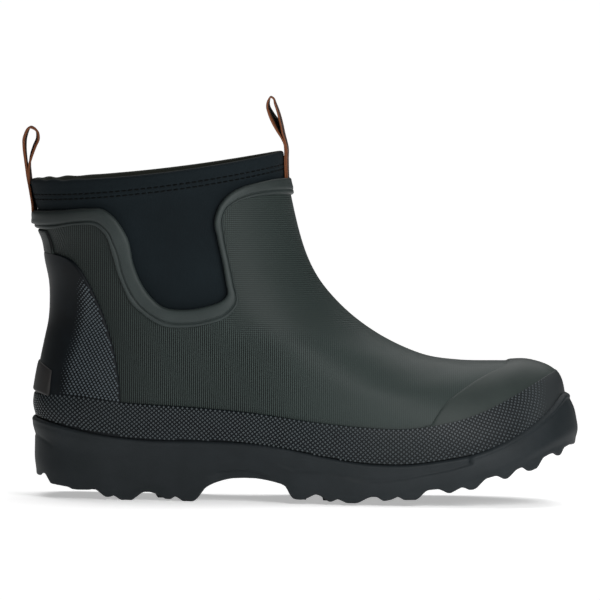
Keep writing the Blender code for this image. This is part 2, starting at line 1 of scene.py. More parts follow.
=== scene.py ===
# %% [markdown]
# # A rubber ankle boot
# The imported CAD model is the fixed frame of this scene: it says where every piece of the boot is.
# Here each piece is built again as a finer surface in the same place, with the rolls, ribs, dots and
# stitches that a solid for physics leaves out, and it gets a material. All tables are in millimetres,
# with x measured forward from the back of the heel; only the finished meshes are in metres.

# %% Load the frame
import math

import bmesh
import bpy
import numpy as np
from mathutils import Matrix, Vector


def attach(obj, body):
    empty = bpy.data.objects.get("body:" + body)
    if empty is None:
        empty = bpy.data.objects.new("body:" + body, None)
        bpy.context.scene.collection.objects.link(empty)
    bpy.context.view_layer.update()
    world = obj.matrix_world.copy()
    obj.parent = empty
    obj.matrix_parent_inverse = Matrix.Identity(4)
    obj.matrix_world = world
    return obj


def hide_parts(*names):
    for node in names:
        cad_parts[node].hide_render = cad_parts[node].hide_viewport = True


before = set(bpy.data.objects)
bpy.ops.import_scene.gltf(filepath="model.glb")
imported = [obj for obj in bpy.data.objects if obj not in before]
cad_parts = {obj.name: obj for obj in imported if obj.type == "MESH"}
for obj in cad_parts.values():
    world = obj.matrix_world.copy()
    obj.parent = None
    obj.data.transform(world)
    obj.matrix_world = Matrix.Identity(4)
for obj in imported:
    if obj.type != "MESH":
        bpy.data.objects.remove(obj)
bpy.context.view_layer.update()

# %% [markdown]
# ## The last
# A boot is built round a last, a wooden or plastic foot. One smooth function stands for it here, and
# every layer of the upper is that surface moved in or out. It could be sculpted, but then each overlay
# would have to be fitted to it by eye. As a function it can be asked for its point, its outward
# direction or the place that shows at some x and z from the side. Its two parameters are theta, once
# round the boot from the heel along the lateral side to the toe and back, and v, from sole to collar.

# %% Tables of the last
MM = 0.001
TURN = 2 * math.pi
ORIGIN_FROM_HEEL = 147.66
ORIGIN_TO_MEDIAL = 5.37
SHELL_WALL = 1.7
BOOTIE_WALL = 2.8
LAYER_GAP = 0.4
HEM_SINK = 1.3
SEAT_GAP = 0.3
OVERLAY_GAP = 0.5
OVERLAY_THICKNESS = 1.1
TOE_SHIFT, TOE_SHIFT_SPAN = 8.0, (140, 300)
SHELL_TOP = 0.93
HEM_START = 0.955
SECTION_COLUMNS = (
    "v", "rear_x", "rear_z", "front_x", "front_z", "base_z", "rise", "follow", "heel",
    "waist_out", "waist_in", "ball_out", "ball_in", "tip_out", "tip_in", "rear_round", "front_round")
SECTIONS = np.array((
    (0.00, 3.0, 45.3, 295.3, 58.2, 40, 8.0, 1.0, 35.0, 39.0, 34.0, 50.0, 50.0, 43.0, 45.0, 0.155, 0.22),
    (0.06, 1.5, 52.0, 292.7, 69.4, 32, 9.0, 0.9, 36.0, 40.0, 36.0, 51.0, 51.0, 44.0, 45.5, 0.155, 0.22),
    (0.13, 2.8, 62.0, 286.7, 75.7, 38, 8.0, 0.7, 36.5, 40.5, 37.5, 51.0, 51.0, 44.0, 45.0, 0.165, 0.23),
    (0.20, 4.1, 73.0, 275.7, 79.3, 44, 7.0, 0.5, 36.0, 40.5, 38.5, 49.5, 49.5, 45.0, 45.5, 0.175, 0.26),
    (0.30, 6.5, 86.0, 259.6, 79.2, 52, 6.5, 0.25, 35.3, 40.0, 39.0, 47.0, 47.0, 44.0, 44.0, 0.185, 0.31),
    (0.40, 8.8, 98.0, 236.0, 79.3, 60, 6.0, 0.1, 34.8, 39.5, 39.0, 44.5, 44.0, 41.0, 41.0, 0.205, 0.37),
    (0.50, 9.3, 109.0, 214.8, 82.6, 70, 5.0, 0.0, 34.6, 39.0, 38.5, 42.0, 41.5, 37.0, 37.0, 0.23, 0.43),
    (0.60, 8.7, 120.0, 190.0, 94.0, 84, 4.0, 0.0, 35.0, 39.3, 38.8, 40.5, 40.5, 34.0, 34.0, 0.26, 0.48),
    (0.70, 6.3, 131.0, 168.8, 110.4, 102, 3.0, 0.0, 36.0, 40.3, 40.0, 40.2, 40.2, 33.0, 33.0, 0.305, 0.51),
    (0.80, 4.0, 143.0, 153.5, 130.5, 126, 3.0, 0.0, 37.3, 41.8, 41.5, 41.0, 41.0, 34.0, 34.0, 0.36, 0.52),
    (0.88, 0.0, 152.0, 145.3, 153.0, 152, 2.0, 0.0, 38.6, 43.2, 43.0, 42.0, 42.0, 36.0, 36.0, 0.40, 0.52),
    (0.94, -1.6, 159.0, 139.4, 179.0, 178, 2.0, 0.0, 39.6, 44.3, 44.0, 43.0, 43.0, 37.5, 37.5, 0.43, 0.51),
    (1.00, -5.2, 175.9, 138.0, 194.5, 180.5, 2.0, 0.0, 40.4, 45.0, 45.0, 44.0, 44.0, 38.5, 38.5, 0.45, 0.50)))
WIDTH_STATIONS = (0.1, 0.4, 0.7, 0.95)
END_POWER = 2.6
SEAT_LINE = np.array((
    (0, 45.0), (10, 42.3), (37, 36.2), (65, 33.5), (93, 33.6), (121, 33.0), (138, 31.2), (161, 26.9),
    (184, 23.6), (206, 23.2), (229, 26.2), (244, 29.2), (263, 36.2), (280, 45.4), (291, 53.4), (300, 62.0)))


# %% Curves through the tables
def smooth_curve(knots, values, at):
    """A cubic curve through the values at the knots, with slopes taken from the neighbours."""
    at = np.clip(at, knots[0], knots[-1])
    left = np.clip(np.searchsorted(knots, at, side="right") - 1, 0, len(knots) - 2)
    slopes = np.gradient(values, knots)
    span = knots[left + 1] - knots[left]
    t = (at - knots[left]) / span
    start = (2 * t ** 3 - 3 * t ** 2 + 1) * values[left]
    leave = (t ** 3 - 2 * t ** 2 + t) * span * slopes[left]
    end = (3 * t ** 2 - 2 * t ** 3) * values[left + 1]
    arrive = (t ** 3 - t ** 2) * span * slopes[left + 1]
    return start + leave + end + arrive


def curve_of(table, at):
    """The second column of a two-column table, read smoothly over the first."""
    return smooth_curve(table[:, 0], table[:, 1], at)


def section(name, v):
    """One column of the section table, read smoothly at row v."""
    return smooth_curve(SECTIONS[:, 0], SECTIONS[:, SECTION_COLUMNS.index(name)], v)


def ease(x, low, high):
    """A smooth step from 0 at low to 1 at high: three t squared minus two t cubed."""
    t = np.clip((x - low) / (high - low), 0, 1)
    return t * t * (3 - 2 * t)


def hump(x, middle, half_span):
    """A smooth bump: 1 at the middle, falling to 0 at half_span on either side."""
    return ease(half_span - np.abs(x - middle), 0, half_span)


# %% The last as a function
def rounded_end(share):
    """Half-oval growth from 0 at an end to 1 where the rounding stops."""
    inward = 1 - np.clip(share, 0, 1)
    return (1 - inward ** END_POWER) ** (1 / END_POWER)


def side_place(along, v):
    """x and z of a row at a share of its way from the heel to the front line."""
    rear_x, front_x = section("rear_x", v), section("front_x", v)
    rear_z, front_z = section("rear_z", v), section("front_z", v)
    base_z, follow = section("base_z", v), section("follow", v)
    climb = along ** section("rise", v)
    x = rear_x + (front_x - rear_x) * along
    straight = rear_z + (base_z - rear_z) * along + (front_z - base_z) * climb
    seat, seat_rear, seat_front = (curve_of(SEAT_LINE, place) for place in (x, rear_x, front_x))
    parallel = seat + (rear_z - seat_rear) * (1 - along) + (front_z - seat_front) * climb
    return x, straight + (parallel - straight) * follow


def half_width(along, v, lateral):
    """Width from the boot's centre line: a cubic through four stations, rounded at both ends."""
    names = ("heel", "waist_out", "ball_out", "tip_out")
    inner_names = ("heel", "waist_in", "ball_in", "tip_in")
    width = np.zeros(np.broadcast(along, v).shape)
    for i, station in enumerate(WIDTH_STATIONS):
        share = 1.0
        for other in WIDTH_STATIONS:
            if other != station:
                share = share * (along - other) / (station - other)
        width = width + share * np.where(lateral, section(names[i], v), section(inner_names[i], v))
    rear = rounded_end(along / section("rear_round", v))
    front = rounded_end((1 - along) / section("front_round", v))
    return width * rear * front


def last_surface(theta, v):
    """Points of the last: the row's side view gives x and z, its half width gives y."""
    theta, v = np.broadcast_arrays(np.asarray(theta, float), np.asarray(v, float))
    along = (1 - np.cos(theta)) / 2
    lateral = np.sin(theta) > 0
    x, z = side_place(along, v)
    centre = TOE_SHIFT * ease(x, *TOE_SHIFT_SPAN)
    y = centre + np.where(lateral, -1, 1) * half_width(along, v, lateral)
    return np.stack((x, y, z), axis=-1)


def last_normal(theta, v):
    """Outward direction of the last: the cross product of small steps along theta and v."""
    step = 0.004
    around = last_surface(theta + step, v) - last_surface(theta - step, v)
    up = last_surface(theta, np.minimum(v + step, 1)) - last_surface(theta, np.maximum(v - step, 0))
    normal = np.cross(around, up)
    return normal / np.linalg.norm(normal, axis=-1, keepdims=True)


def layer(theta, v, offset):
    """The last moved out along its normal by offset; its bottom row stays on the seat line."""
    points = last_surface(theta, v) + last_normal(theta, v) * np.asarray(offset)[..., None]
    on_seat = np.broadcast_to(v, points.shape[:-1]) <= 0
    points[..., 2] = np.where(on_seat, curve_of(SEAT_LINE, points[..., 0]) + SEAT_GAP, points[..., 2])
    return points


# %% Finding places on the last
HALVINGS = 40
FINE_STEPS = 6000
FOOT_FRONT_X = 150


def halve_rows(shape, is_above):
    """Row between 0 and 1 where a test turns true, by halving the span that holds it."""
    low, high = np.zeros(shape), np.ones(shape)
    for _ in range(HALVINGS):
        v = (low + high) / 2
        above = is_above(v)
        high = np.where(above, v, high)
        low = np.where(above, low, v)
    return v


def share_along(x, v):
    """Share of the way from a row's heel to its front line where it passes x."""
    rear_x, front_x = section("rear_x", v), section("front_x", v)
    return np.clip((x - rear_x) / (front_x - rear_x), 0, 1)


def place_on_last(x, z):
    """theta and v of the lateral point that shows at x, z from the side."""
    def is_above(v):
        """True for a row that passes over the place, or ends behind it on the foot."""
        front_x = section("front_x", v)
        return (side_place(share_along(x, v), v)[1] > z) | ((x > front_x) & (front_x > FOOT_FRONT_X))

    v = halve_rows(np.shape(x), is_above)
    return np.arccos(1 - 2 * share_along(x, v)), v


def v_at_height(theta, height_of_x):
    """Row where each column of the last crosses a line given as a height over x."""
    def is_above(v):
        """True for a row that passes over the line."""
        x, z = side_place((1 - np.cos(theta)) / 2, v)
        return z > height_of_x(x)

    return halve_rows(np.shape(theta), is_above)


def path_length(points):
    """Distance travelled along a line of points, starting at 0."""
    steps = np.linalg.norm(np.diff(points, axis=0), axis=1)
    return np.concatenate(((0,), np.cumsum(steps)))


def even_angles(count, v, start=0.0, end=TURN):
    """Angles whose points on row v lie evenly spaced: the inverse of the length travelled."""
    fine = np.linspace(start, end, FINE_STEPS)
    travel = path_length(last_surface(fine, np.full(fine.shape, float(v))))
    return np.interp(np.linspace(0, travel[-1], count), travel, fine)


def girth(v):
    """Length of one turn round the last on row v."""
    return float(path_length(last_surface(np.linspace(0, TURN, 800), v))[-1])


print("girth at the collar, mm", round(girth(1.0), 1))

# %% [markdown]
# ## From grids to meshes
# Every piece is one or more grids of points. A `Skin` keeps points, faces and a UV pair for each face
# corner together, so that grids can be added up before they become a mesh. The UVs are lengths on the
# boot in millimetres: a weave or a row of stitches then has its true pitch wherever it lies.


# %% Skins and pieces
class Skin:
    """Points, groups of faces and the UVs of their corners."""

    def __init__(self, points, faces, corners):
        self.points = points
        self.faces = faces
        self.corners = corners

    def __add__(self, other):
        moved = [group + len(self.points) for group in other.faces]
        points = np.concatenate((self.points, other.points))
        return Skin(points, self.faces + moved, self.corners + other.corners)


def grid_skin(points, uv=None, wrap_rows=False, wrap_columns=False):
    """Quads of a grid: each joins a point, the next column, the next row of that column, and the next row."""
    rows, columns = points.shape[:2]
    r = np.arange(rows if wrap_rows else rows - 1)[:, None]
    c = np.arange(columns if wrap_columns else columns - 1)[None, :]
    next_r, next_c = (r + 1) % rows, (c + 1) % columns
    cell = ((r, c), (r, next_c), (next_r, next_c), (next_r, c))
    quads = np.stack([row * columns + column for row, column in cell], -1)
    if uv is None:
        uv = np.zeros((rows + 1, columns + 1, 2))
    corners = np.stack((uv[r, c], uv[r, c + 1], uv[r + 1, c + 1], uv[r + 1, c]), -2)
    return Skin(points.reshape(-1, 3), [quads.reshape(-1, 4)], [corners.reshape(-1, 4, 2)])


def grid_lengths(points, wrap_rows=False, wrap_columns=False):
    """UVs of a grid in millimetres: the way along each row, and the way up each column."""
    if wrap_columns:
        points = np.concatenate((points, points[:, :1]), axis=1)
    if wrap_rows:
        points = np.concatenate((points, points[:1]), axis=0)
    across = np.linalg.norm(np.diff(points, axis=1), axis=-1)
    up = np.linalg.norm(np.diff(points, axis=0), axis=-1)
    u = np.concatenate((np.zeros((len(points), 1)), np.cumsum(across, axis=1)), axis=1)
    v = np.concatenate((np.zeros((1, points.shape[1])), np.cumsum(up, axis=0)), axis=0)
    return np.stack((u, v), axis=-1)


def measured_skin(points, wrap_rows=False, wrap_columns=False):
    """Quads of a grid whose UVs are its own lengths."""
    return grid_skin(points, grid_lengths(points, wrap_rows, wrap_columns), wrap_rows, wrap_columns)


def to_frame(points):
    """Table millimetres to the frame's metres."""
    return (np.asarray(points, float) - (ORIGIN_FROM_HEEL, ORIGIN_TO_MEDIAL, 0)) * MM


def merge_seams(mesh):
    """Join the points that two grids share along a border, and drop faces that shrink to nothing."""
    whole = bmesh.new()
    whole.from_mesh(mesh)
    bmesh.ops.remove_doubles(whole, verts=whole.verts, dist=1e-6)
    bmesh.ops.dissolve_degenerate(whole, edges=whole.edges, dist=1e-7)
    loose = [vert for vert in whole.verts if not vert.link_faces]
    bmesh.ops.delete(whole, geom=loose, context="VERTS")
    whole.to_mesh(mesh)
    whole.free()


def add_object(name, data):
    """An object that shows some data, linked into the scene."""
    made = bpy.data.objects.new(name, data)
    bpy.context.scene.collection.objects.link(made)
    return made


def add_piece(name, skin, material, nodes=(), sharp=50):
    """A mesh of a skin that rides on the boot, takes a material slot and stands for CAD nodes."""
    mesh = bpy.data.meshes.new(name)
    faces = [face for group in skin.faces for face in group.tolist()]
    mesh.from_pydata(to_frame(skin.points).tolist(), [], faces)
    uv_map = mesh.uv_layers.new(name="Lengths")
    uv_map.uv.foreach_set("vector", np.concatenate([c.reshape(-1) for c in skin.corners]))
    merge_seams(mesh)
    mesh.shade_smooth()
    mesh.set_sharp_from_angle(angle=math.radians(sharp))
    mesh.materials.append(material)
    piece = add_object(name, mesh)
    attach(piece, "root")
    if nodes:
        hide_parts(*nodes)
    print(name, len(mesh.vertices), "points", len(mesh.polygons), "faces")
    return piece


def clustered(count):
    """Shares from 0 to 1 that crowd together at both ends: half of 1 minus a cosine."""
    return (1 - np.cos(np.linspace(0, math.pi, count))) / 2


def round_over(distance, radius):
    """Quarter round at an edge: 0 on the edge, 1 from a radius inward."""
    inward = 1 - np.clip(distance / radius, 0, 1)
    return np.sqrt(1 - inward ** 2)


def wall_skin(outer, inner, uv, closed):
    """A closed wall between an outer and an inner grid of the same size, with rims between them."""
    skin = grid_skin(outer, uv, wrap_columns=closed)
    skin = skin + grid_skin(inner[::-1], uv[::-1], wrap_columns=closed)
    for edge in ((inner[0], outer[0]), (outer[-1], inner[-1])):
        skin = skin + grid_skin(np.stack(edge), wrap_columns=closed)
    if not closed:
        for edge in ((inner[:, 0], outer[:, 0]), (outer[:, -1], inner[:, -1])):
            skin = skin + grid_skin(np.stack(edge, axis=1))
    return skin


def scatter(template, faces, centres, axes, uv):
    """Copies of a small shape: each point is its centre plus the template's x, y, z along the copy's axes."""
    points = centres[:, None, :] + np.einsum("ki,nij->nkj", template, axes)
    first = np.arange(len(centres))[:, None, None] * len(template)
    groups = [(np.asarray(group)[None] + first).reshape(-1, len(group[0])) for group in faces]
    corners = [np.tile(uv[np.asarray(group)], (len(centres), 1, 1)) for group in faces]
    return Skin(points.reshape(-1, 3), groups, corners)


def surface_axes(theta, v):
    """Directions along, up and out of the last at many places, as the rows of a matrix for each."""
    step = 0.003
    along = last_surface(theta + step, v) - last_surface(theta - step, v)
    along /= np.linalg.norm(along, axis=-1, keepdims=True)
    out = last_normal(theta, v)
    return np.stack((along, np.cross(out, along), out), axis=-2)


# %% [markdown]
# ## Shader values as Python expressions
# A material is a graph of nodes. Drawing it node by node takes many lines, so one small class wraps a
# socket and turns sums and products into Math nodes. Any other node comes from its `node` method.


# %% Shader values
class Shade:
    """A value in a material's node tree; arithmetic on it adds Math nodes."""

    def __init__(self, tree, socket=None):
        self.tree = tree
        self.socket = socket

    def node(self, kind, settings=None, inputs=None, output=0):
        """Any node: its type, its settings, then the values or links of its sockets."""
        made = self.tree.nodes.new(kind)
        for name, value in (settings or {}).items():
            setattr(made, name, value)
        for name, value in (inputs or {}).items():
            if isinstance(value, Shade):
                self.tree.links.new(value.socket, made.inputs[name])
            else:
                made.inputs[name].default_value = value
        return Shade(self.tree, made.outputs[output])

    def math(self, operation, *values):
        """A Math node of some operation on values and numbers."""
        return self.node("ShaderNodeMath", {"operation": operation}, dict(enumerate(values)))

    def __add__(self, other):
        return self.math("ADD", self, other)

    def __sub__(self, other):
        return self.math("SUBTRACT", self, other)

    def __rsub__(self, other):
        return self.math("SUBTRACT", other, self)

    def __mul__(self, other):
        return self.math("MULTIPLY", self, other)

    __radd__ = __add__

    def step(self, low, high):
        """A smooth step from 0 at low to 1 at high."""
        spread = {"Value": self, "From Min": low, "From Max": high, "To Min": 0.0, "To Max": 1.0}
        return self.node("ShaderNodeMapRange", {"interpolation_type": "SMOOTHSTEP"}, spread)

    def wave(self, pitch):
        """Ribs between 0 and 1 that repeat every pitch: half of 1 plus a sine."""
        return self.math("SINE", self * (TURN / pitch)) * 0.5 + 0.5

    def blend(self, low, high):
        """A colour between two colours, with this value as the share of the second."""
        ends = {0: self, 6: low if isinstance(low, Shade) else (*low, 1), 7: (*high, 1)}
        return self.node("ShaderNodeMix", {"data_type": "RGBA"}, ends, 2)

    def feed(self, shader, name):
        """Drive one socket of the material's main shader."""
        self.tree.links.new(self.socket, shader.inputs[name])


def start_finish(name, **constants):
    """A new material, its main shader with some constants set, and a start for its values."""
    material = bpy.data.materials.new(name)
    material.use_nodes = True
    shader = material.node_tree.nodes["Principled BSDF"]
    for socket, value in constants.items():
        shader.inputs[socket.replace("_", " ")].default_value = value
    return material, shader, Shade(material.node_tree)


def lengths(values):
    """The piece's own UVs, in millimetres, as two values."""
    uv = values.node("ShaderNodeUVMap", {"uv_map": "Lengths"})
    return [values.node("ShaderNodeSeparateXYZ", None, {0: uv}, axis) for axis in range(2)]


def place(values):
    """The point's place in the boot's frame, in metres, as a vector and as three values."""
    spot = values.node("ShaderNodeTexCoord", None, None, "Object")
    return spot, [values.node("ShaderNodeSeparateXYZ", None, {0: spot}, axis) for axis in range(3)]


def noise(values, spot, scale, detail=3.0, rough=0.55):
    """Cloudy values from 0 to 1 over the boot; scale is the number of clouds in a metre."""
    return values.node("ShaderNodeTexNoise", None, {
        "Vector": spot, "Scale": scale, "Detail": detail, "Roughness": rough})


def emboss(values, height, depth_mm):
    """A bump of some depth in millimetres, as a normal."""
    return values.node("ShaderNodeBump", None, {"Height": height, "Distance": depth_mm * MM, "Strength": 1.0})


# %% [markdown]
# ## Rubber with a woven emboss
# The shell is dipped rubber that keeps the print of a coarse cloth: fine ribs about 1.1 mm apart, upright
# on the quarters, lying on the front of the shaft and nearly gone on the stretched vamp. Modelling the
# ribs would take millions of faces, so they are a bump in the surface's own lengths, with painted shade in
# the hollows between them and painted light on their tops. The colour also has painted shade towards the
# heel and on the front of the shaft. A slow cloud in the colour and the gloss keeps the large plain areas
# from looking like plastic.

# %% Shell rubber
SHELL_GREEN = (0.0328, 0.0472, 0.0437)
SHELL_SHADE = (0.0016, 0.0024, 0.0024)
RIB_PITCH = 1.143
SHAFT_FRONT_X, SHAFT_FRONT_Z = (-0.052, -0.030), (0.085, 0.105)
VAMP_X, VAMP_Z = (-0.030, 0.040), (0.095, 0.125)
HEEL_BACK_X = (-0.137, -0.127)
REAR_X = (-0.12, -0.05)


def shell_finish():
    """Green-grey rubber, satin. Each region is a smooth step over its span of x or z, in metres; the ribs
    stand upright or lie by region, and the colour is a share of the green, with painted shade in the hollows
    between the ribs, painted light on their tops, and painted shade towards the heel and on the shaft's
    front."""
    material, shader, values = start_finish("shell_rubber", Specular_IOR_Level=0.17, Coat_Roughness=0.35)
    spot, (x, y, z) = place(values)
    front = x.step(*SHAFT_FRONT_X) * z.step(*SHAFT_FRONT_Z)
    vamp = x.step(*VAMP_X) * (1 - z.step(*VAMP_Z))
    back = 1 - x.step(*HEEL_BACK_X)
    upright = x.wave(RIB_PITCH * MM) * (1 - back) + y.wave(RIB_PITCH * MM) * back
    lying = z.wave(RIB_PITCH * MM)
    ribs = (upright * (1 - front) + lying * front).step(0.3, 0.7)
    cross_ribs = lying * (1 - front) + upright * front
    depth = 1 - vamp * 0.88 - front * 0.65
    height = (ribs * 0.75 + cross_ribs * 0.25) * depth
    cloud = noise(values, spot, 45.0)
    grain = noise(values, spot, 2400.0, 2.0)
    # Painted shade in the hollows between the ribs, painted light on the rib tops.
    valley_shade = (1 - ribs) * depth
    tone_and_shade = (0.66 - cloud * 0.15) * (1 - valley_shade) + ribs * depth * 0.6
    # Painted shade: the colour is darker towards the heel and on the front of the shaft.
    rear = 1 - x.step(*REAR_X)
    tone_and_shade = tone_and_shade * (1 - rear * 0.5 - front * 0.15)
    tone_and_shade.blend(SHELL_SHADE, SHELL_GREEN).feed(shader, "Base Color")
    (0.50 + cloud * 0.16).feed(shader, "Roughness")
    (cloud * 0.08).feed(shader, "Coat Weight")
    emboss(values, height + grain * 0.2, 0.2).feed(shader, "Normal")
    return material


SHELL_RUBBER = shell_finish()

# %% [markdown]
# ## Plain and knurled rubber
# The foxing and the counter are darker rubber with dots. The dots are real geometry, so their finish only
# has to tell foot from tip: the second UV value of a dot falls from -1 at its foot to -2 at its tip, and
# the tips are glossier and carry a painted highlight. The welt, the sole, the toe cap and the kick tab are
# plain moulded rubber with a fine grain; the welt carries painted shade at the boot's back and towards the
# shin.

# %% Trim rubber
TRIM_DARK = (0.0018, 0.0032, 0.0044)
TRIM_WORN = (0.0038, 0.0064, 0.0084)
FOXING_TIP_HIGHLIGHT = (0.060, 0.071, 0.076)
COUNTER_TIP_HIGHLIGHT = (0.083, 0.100, 0.110)
CALM_GROUND = (0.0085, 0.0108, 0.0118)
TOE_END = (0.0230, 0.0265, 0.0280)
CALM_X = (-0.02, 0.06)
TOE_END_X = (0.118, 0.136)
BACK_X = (-0.125, -0.10)
SHIN_X = (-0.045, -0.02)


def knurled_finish(name, tips):
    """Dark rubber whose dots grow smoother towards their tips and carry a painted highlight there, more
    calmly at the toe.
    """
    material, shader, values = start_finish(name, Specular_IOR_Level=0.16)
    _, v = lengths(values)
    spot, (x, _, _) = place(values)
    cloud = noise(values, spot, 60.0)
    calm = x.step(*CALM_X)
    # Painted highlight: the dots grow lighter towards their tips, a little less at the toe.
    tip = (v * -1 - 1).step(0.4, 0.95) * (1 - calm * 0.3)
    ground = calm.blend(cloud.step(0.3, 0.7).blend(TRIM_DARK, TRIM_WORN), CALM_GROUND)
    ground = x.step(*TOE_END_X).blend(ground, TOE_END)
    tip.blend(ground, tips).feed(shader, "Base Color")
    (0.55 - tip * 0.2).feed(shader, "Roughness")
    return material


def moulded_finish(name, dark, light, rough, grain_depth, back_shade=0.0, shin_shade=0.0):
    """Moulded rubber: two tones in soft clouds, with a fine pebble grain, and painted shade: some share of
    black at the boot's back and towards the shin."""
    material, shader, values = start_finish(name, Specular_IOR_Level=0.2, Coat_Roughness=0.4)
    spot, (x, _, _) = place(values)
    cloud = noise(values, spot, 60.0)
    grain = noise(values, spot, 1800.0, 3.0)
    colour = (cloud * 0.6 + grain * 0.4).step(0.25, 0.8).blend(dark, light)
    # Painted shade: darker at the boot's back and towards the shin.
    shade = (1 - x.step(*BACK_X)) * back_shade + x.step(*SHIN_X) * shin_shade
    shade.blend(colour, (0, 0, 0)).feed(shader, "Base Color")
    (rough + cloud * 0.14).feed(shader, "Roughness")
    (cloud * 0.08).feed(shader, "Coat Weight")
    emboss(values, grain, grain_depth).feed(shader, "Normal")
    return material


FOXING_RUBBER = knurled_finish("foxing_rubber", FOXING_TIP_HIGHLIGHT)
COUNTER_RUBBER = knurled_finish("counter_rubber", COUNTER_TIP_HIGHLIGHT)
WELT_RUBBER = moulded_finish(
    "welt_rubber", (0.0230, 0.0310, 0.0302), (0.0345, 0.0450, 0.0437), 0.46, 0.05,
    back_shade=0.4, shin_shade=0.25)
SOLE_RUBBER = moulded_finish("sole_rubber", (0.0077, 0.0110, 0.0127), (0.0131, 0.0172, 0.0199), 0.58, 0.06)
CAP_RUBBER = moulded_finish("cap_rubber", (0.0148, 0.0213, 0.0197), (0.0213, 0.0295, 0.027), 0.50, 0.05)
TAB_RUBBER = moulded_finish("tab_rubber", (0.0172, 0.0172, 0.0175), (0.0275, 0.0258, 0.025), 0.55, 0.05)

# %% [markdown]
# ## Neoprene, thread, ribbon and felt
# Neoprene is foam faced with a fine knit: almost black and matt, with a lighter lining inside the collar.
# The knit is one wave times another. The ribbon's weave runs across its width, with a rust selvedge on
# either side.

# %% Soft finishes
KNIT_DARK = (0.0025, 0.0050, 0.0066)
KNIT_LIGHT = (0.0070, 0.0127, 0.0160)
LINING = (0.030, 0.033, 0.027)
KNIT_PITCHES = (0.9, 0.7)
LINING_FROM = (-1.2, 0.6)
THREAD_DARK, THREAD_LIGHT = (0.001, 0.0015, 0.0015), (0.004, 0.005, 0.005)
RIBBON_WIDTH = 17.0
SELVEDGE_FROM = (RIBBON_WIDTH / 2 - 3.2, RIBBON_WIDTH / 2 - 2.4)
RIBBON_BLACK, RIBBON_RUST = (0.012, 0.011, 0.011), (0.21, 0.072, 0.030)
WEAVE_SHADE = (0.02, 0.012, 0.009)
FELT_DARK, FELT_LIGHT = (0.014, 0.015, 0.016), (0.034, 0.036, 0.038)


def neoprene_finish():
    """Near-black knit: rows of small loops, the product of two waves. The second UV value is 0 on the rim
    and rises down the inside, where the lining takes over."""
    material, shader, values = start_finish("neoprene", Roughness=0.85, Specular_IOR_Level=0.15)
    u, v = lengths(values)
    spot, _ = place(values)
    knit = u.wave(KNIT_PITCHES[0]) * v.wave(KNIT_PITCHES[1])
    cloud = noise(values, spot, 30.0)
    colour = (cloud * 0.7 + knit * 0.3).blend(KNIT_DARK, KNIT_LIGHT)
    v.step(*LINING_FROM).blend(colour, LINING).feed(shader, "Base Color")
    emboss(values, knit + cloud * 0.5, 0.08).feed(shader, "Normal")
    return material


def thread_finish():
    """Black twisted thread, a little glossy."""
    material, shader, values = start_finish("thread", Roughness=0.7, Specular_IOR_Level=0.1)
    spot, _ = place(values)
    twist = noise(values, spot, 1500.0, 1.0)
    twist.blend(THREAD_DARK, THREAD_LIGHT).feed(shader, "Base Color")
    return material


def ribbon_finish():
    """Woven ribbon: black in the middle, rust selvedges, ribs across it with painted shade on them."""
    material, shader, values = start_finish("ribbon", Roughness=0.8, Specular_IOR_Level=0.2)
    u, v = lengths(values)
    selvedge = u.math("ABSOLUTE", u).step(*SELVEDGE_FROM)
    weave = v.wave(0.55) * 0.6 + u.wave(0.7) * 0.4
    colour = selvedge.blend(RIBBON_BLACK, RIBBON_RUST)
    # Painted shade on the ribs of the weave.
    (weave * 0.4).blend(colour, WEAVE_SHADE).feed(shader, "Base Color")
    emboss(values, weave, 0.12).feed(shader, "Normal")
    return material


def felt_finish():
    """Charcoal felt: short hairs as a fine, rough noise."""
    material, shader, values = start_finish("felt", Roughness=0.95, Sheen_Weight=0.2)
    spot, _ = place(values)
    hairs = noise(values, spot, 900.0, 4.0, 0.7)
    hairs.blend(FELT_DARK, FELT_LIGHT).feed(shader, "Base Color")
    emboss(values, hairs, 0.25).feed(shader, "Normal")
    return material


NEOPRENE = neoprene_finish()
THREAD = thread_finish()
RIBBON = ribbon_finish()
FELT = felt_finish()
print("finishes", [m.name for m in bpy.data.materials])

# %% [markdown]
# ## The neoprene bootie
# The upper is a sock of neoprene that shows at the collar and in the two gores. It is one closed profile,
# up the outside, over a rounded rim and down the inside, carried once round the boot. The collar's hem is
# thicker, with two shallow troughs for its stitches, and its back edge puckers a little.

# %% Neoprene bootie
UNDER_SHELL = -(SHELL_WALL + LAYER_GAP)
INSIDE = UNDER_SHELL - BOOTIE_WALL
HEM_SPAN = 0.06
HEM_TROUGHS = (8.0, 10.6)
TROUGH_DEPTH, TROUGH_HALF = 0.3, 1.1
STRAP_SWELL = 0.5
RIM_ROWS, RIM_ROUND = 11, 1.6
PUCKER_HEIGHT, PUCKER_WAVES = 0.45, 23
BOOTIE_ROWS = np.concatenate((np.linspace(0, 0.9, 60), np.linspace(0.904, 0.985, 30)))
ROUND = 300


def hem_drop(theta):
    """Millimetres from the rim down to the row that lies a hem's span below it."""
    return np.linalg.norm(last_surface(theta, 1.0) - last_surface(theta, 1 - HEM_SPAN), axis=-1)


def hem_rows(theta, depth):
    """Row of the last that lies some millimetres below the rim."""
    return 1 - HEM_SPAN * depth / hem_drop(theta)


def below_rim(theta, v):
    """Millimetres below the rim, the inverse of hem_rows."""
    return (1 - v) / HEM_SPAN * hem_drop(theta)


def bootie_outside(theta, v):
    """Offset of the bootie's outer face: under the shell, swelling into the hem and behind the rear strap."""
    offset = UNDER_SHELL - (UNDER_SHELL + HEM_SINK) * ease(v, HEM_START - 0.02, HEM_START + 0.004)
    depth = below_rim(theta, v)
    for trough in HEM_TROUGHS:
        offset = offset - TROUGH_DEPTH * hump(depth, trough, TROUGH_HALF)
    at_strap = 1 - ease(np.abs(np.sin(theta / 2)), 0.05, 0.2)
    return offset + STRAP_SWELL * at_strap * ease(v, 0.95, 0.975)


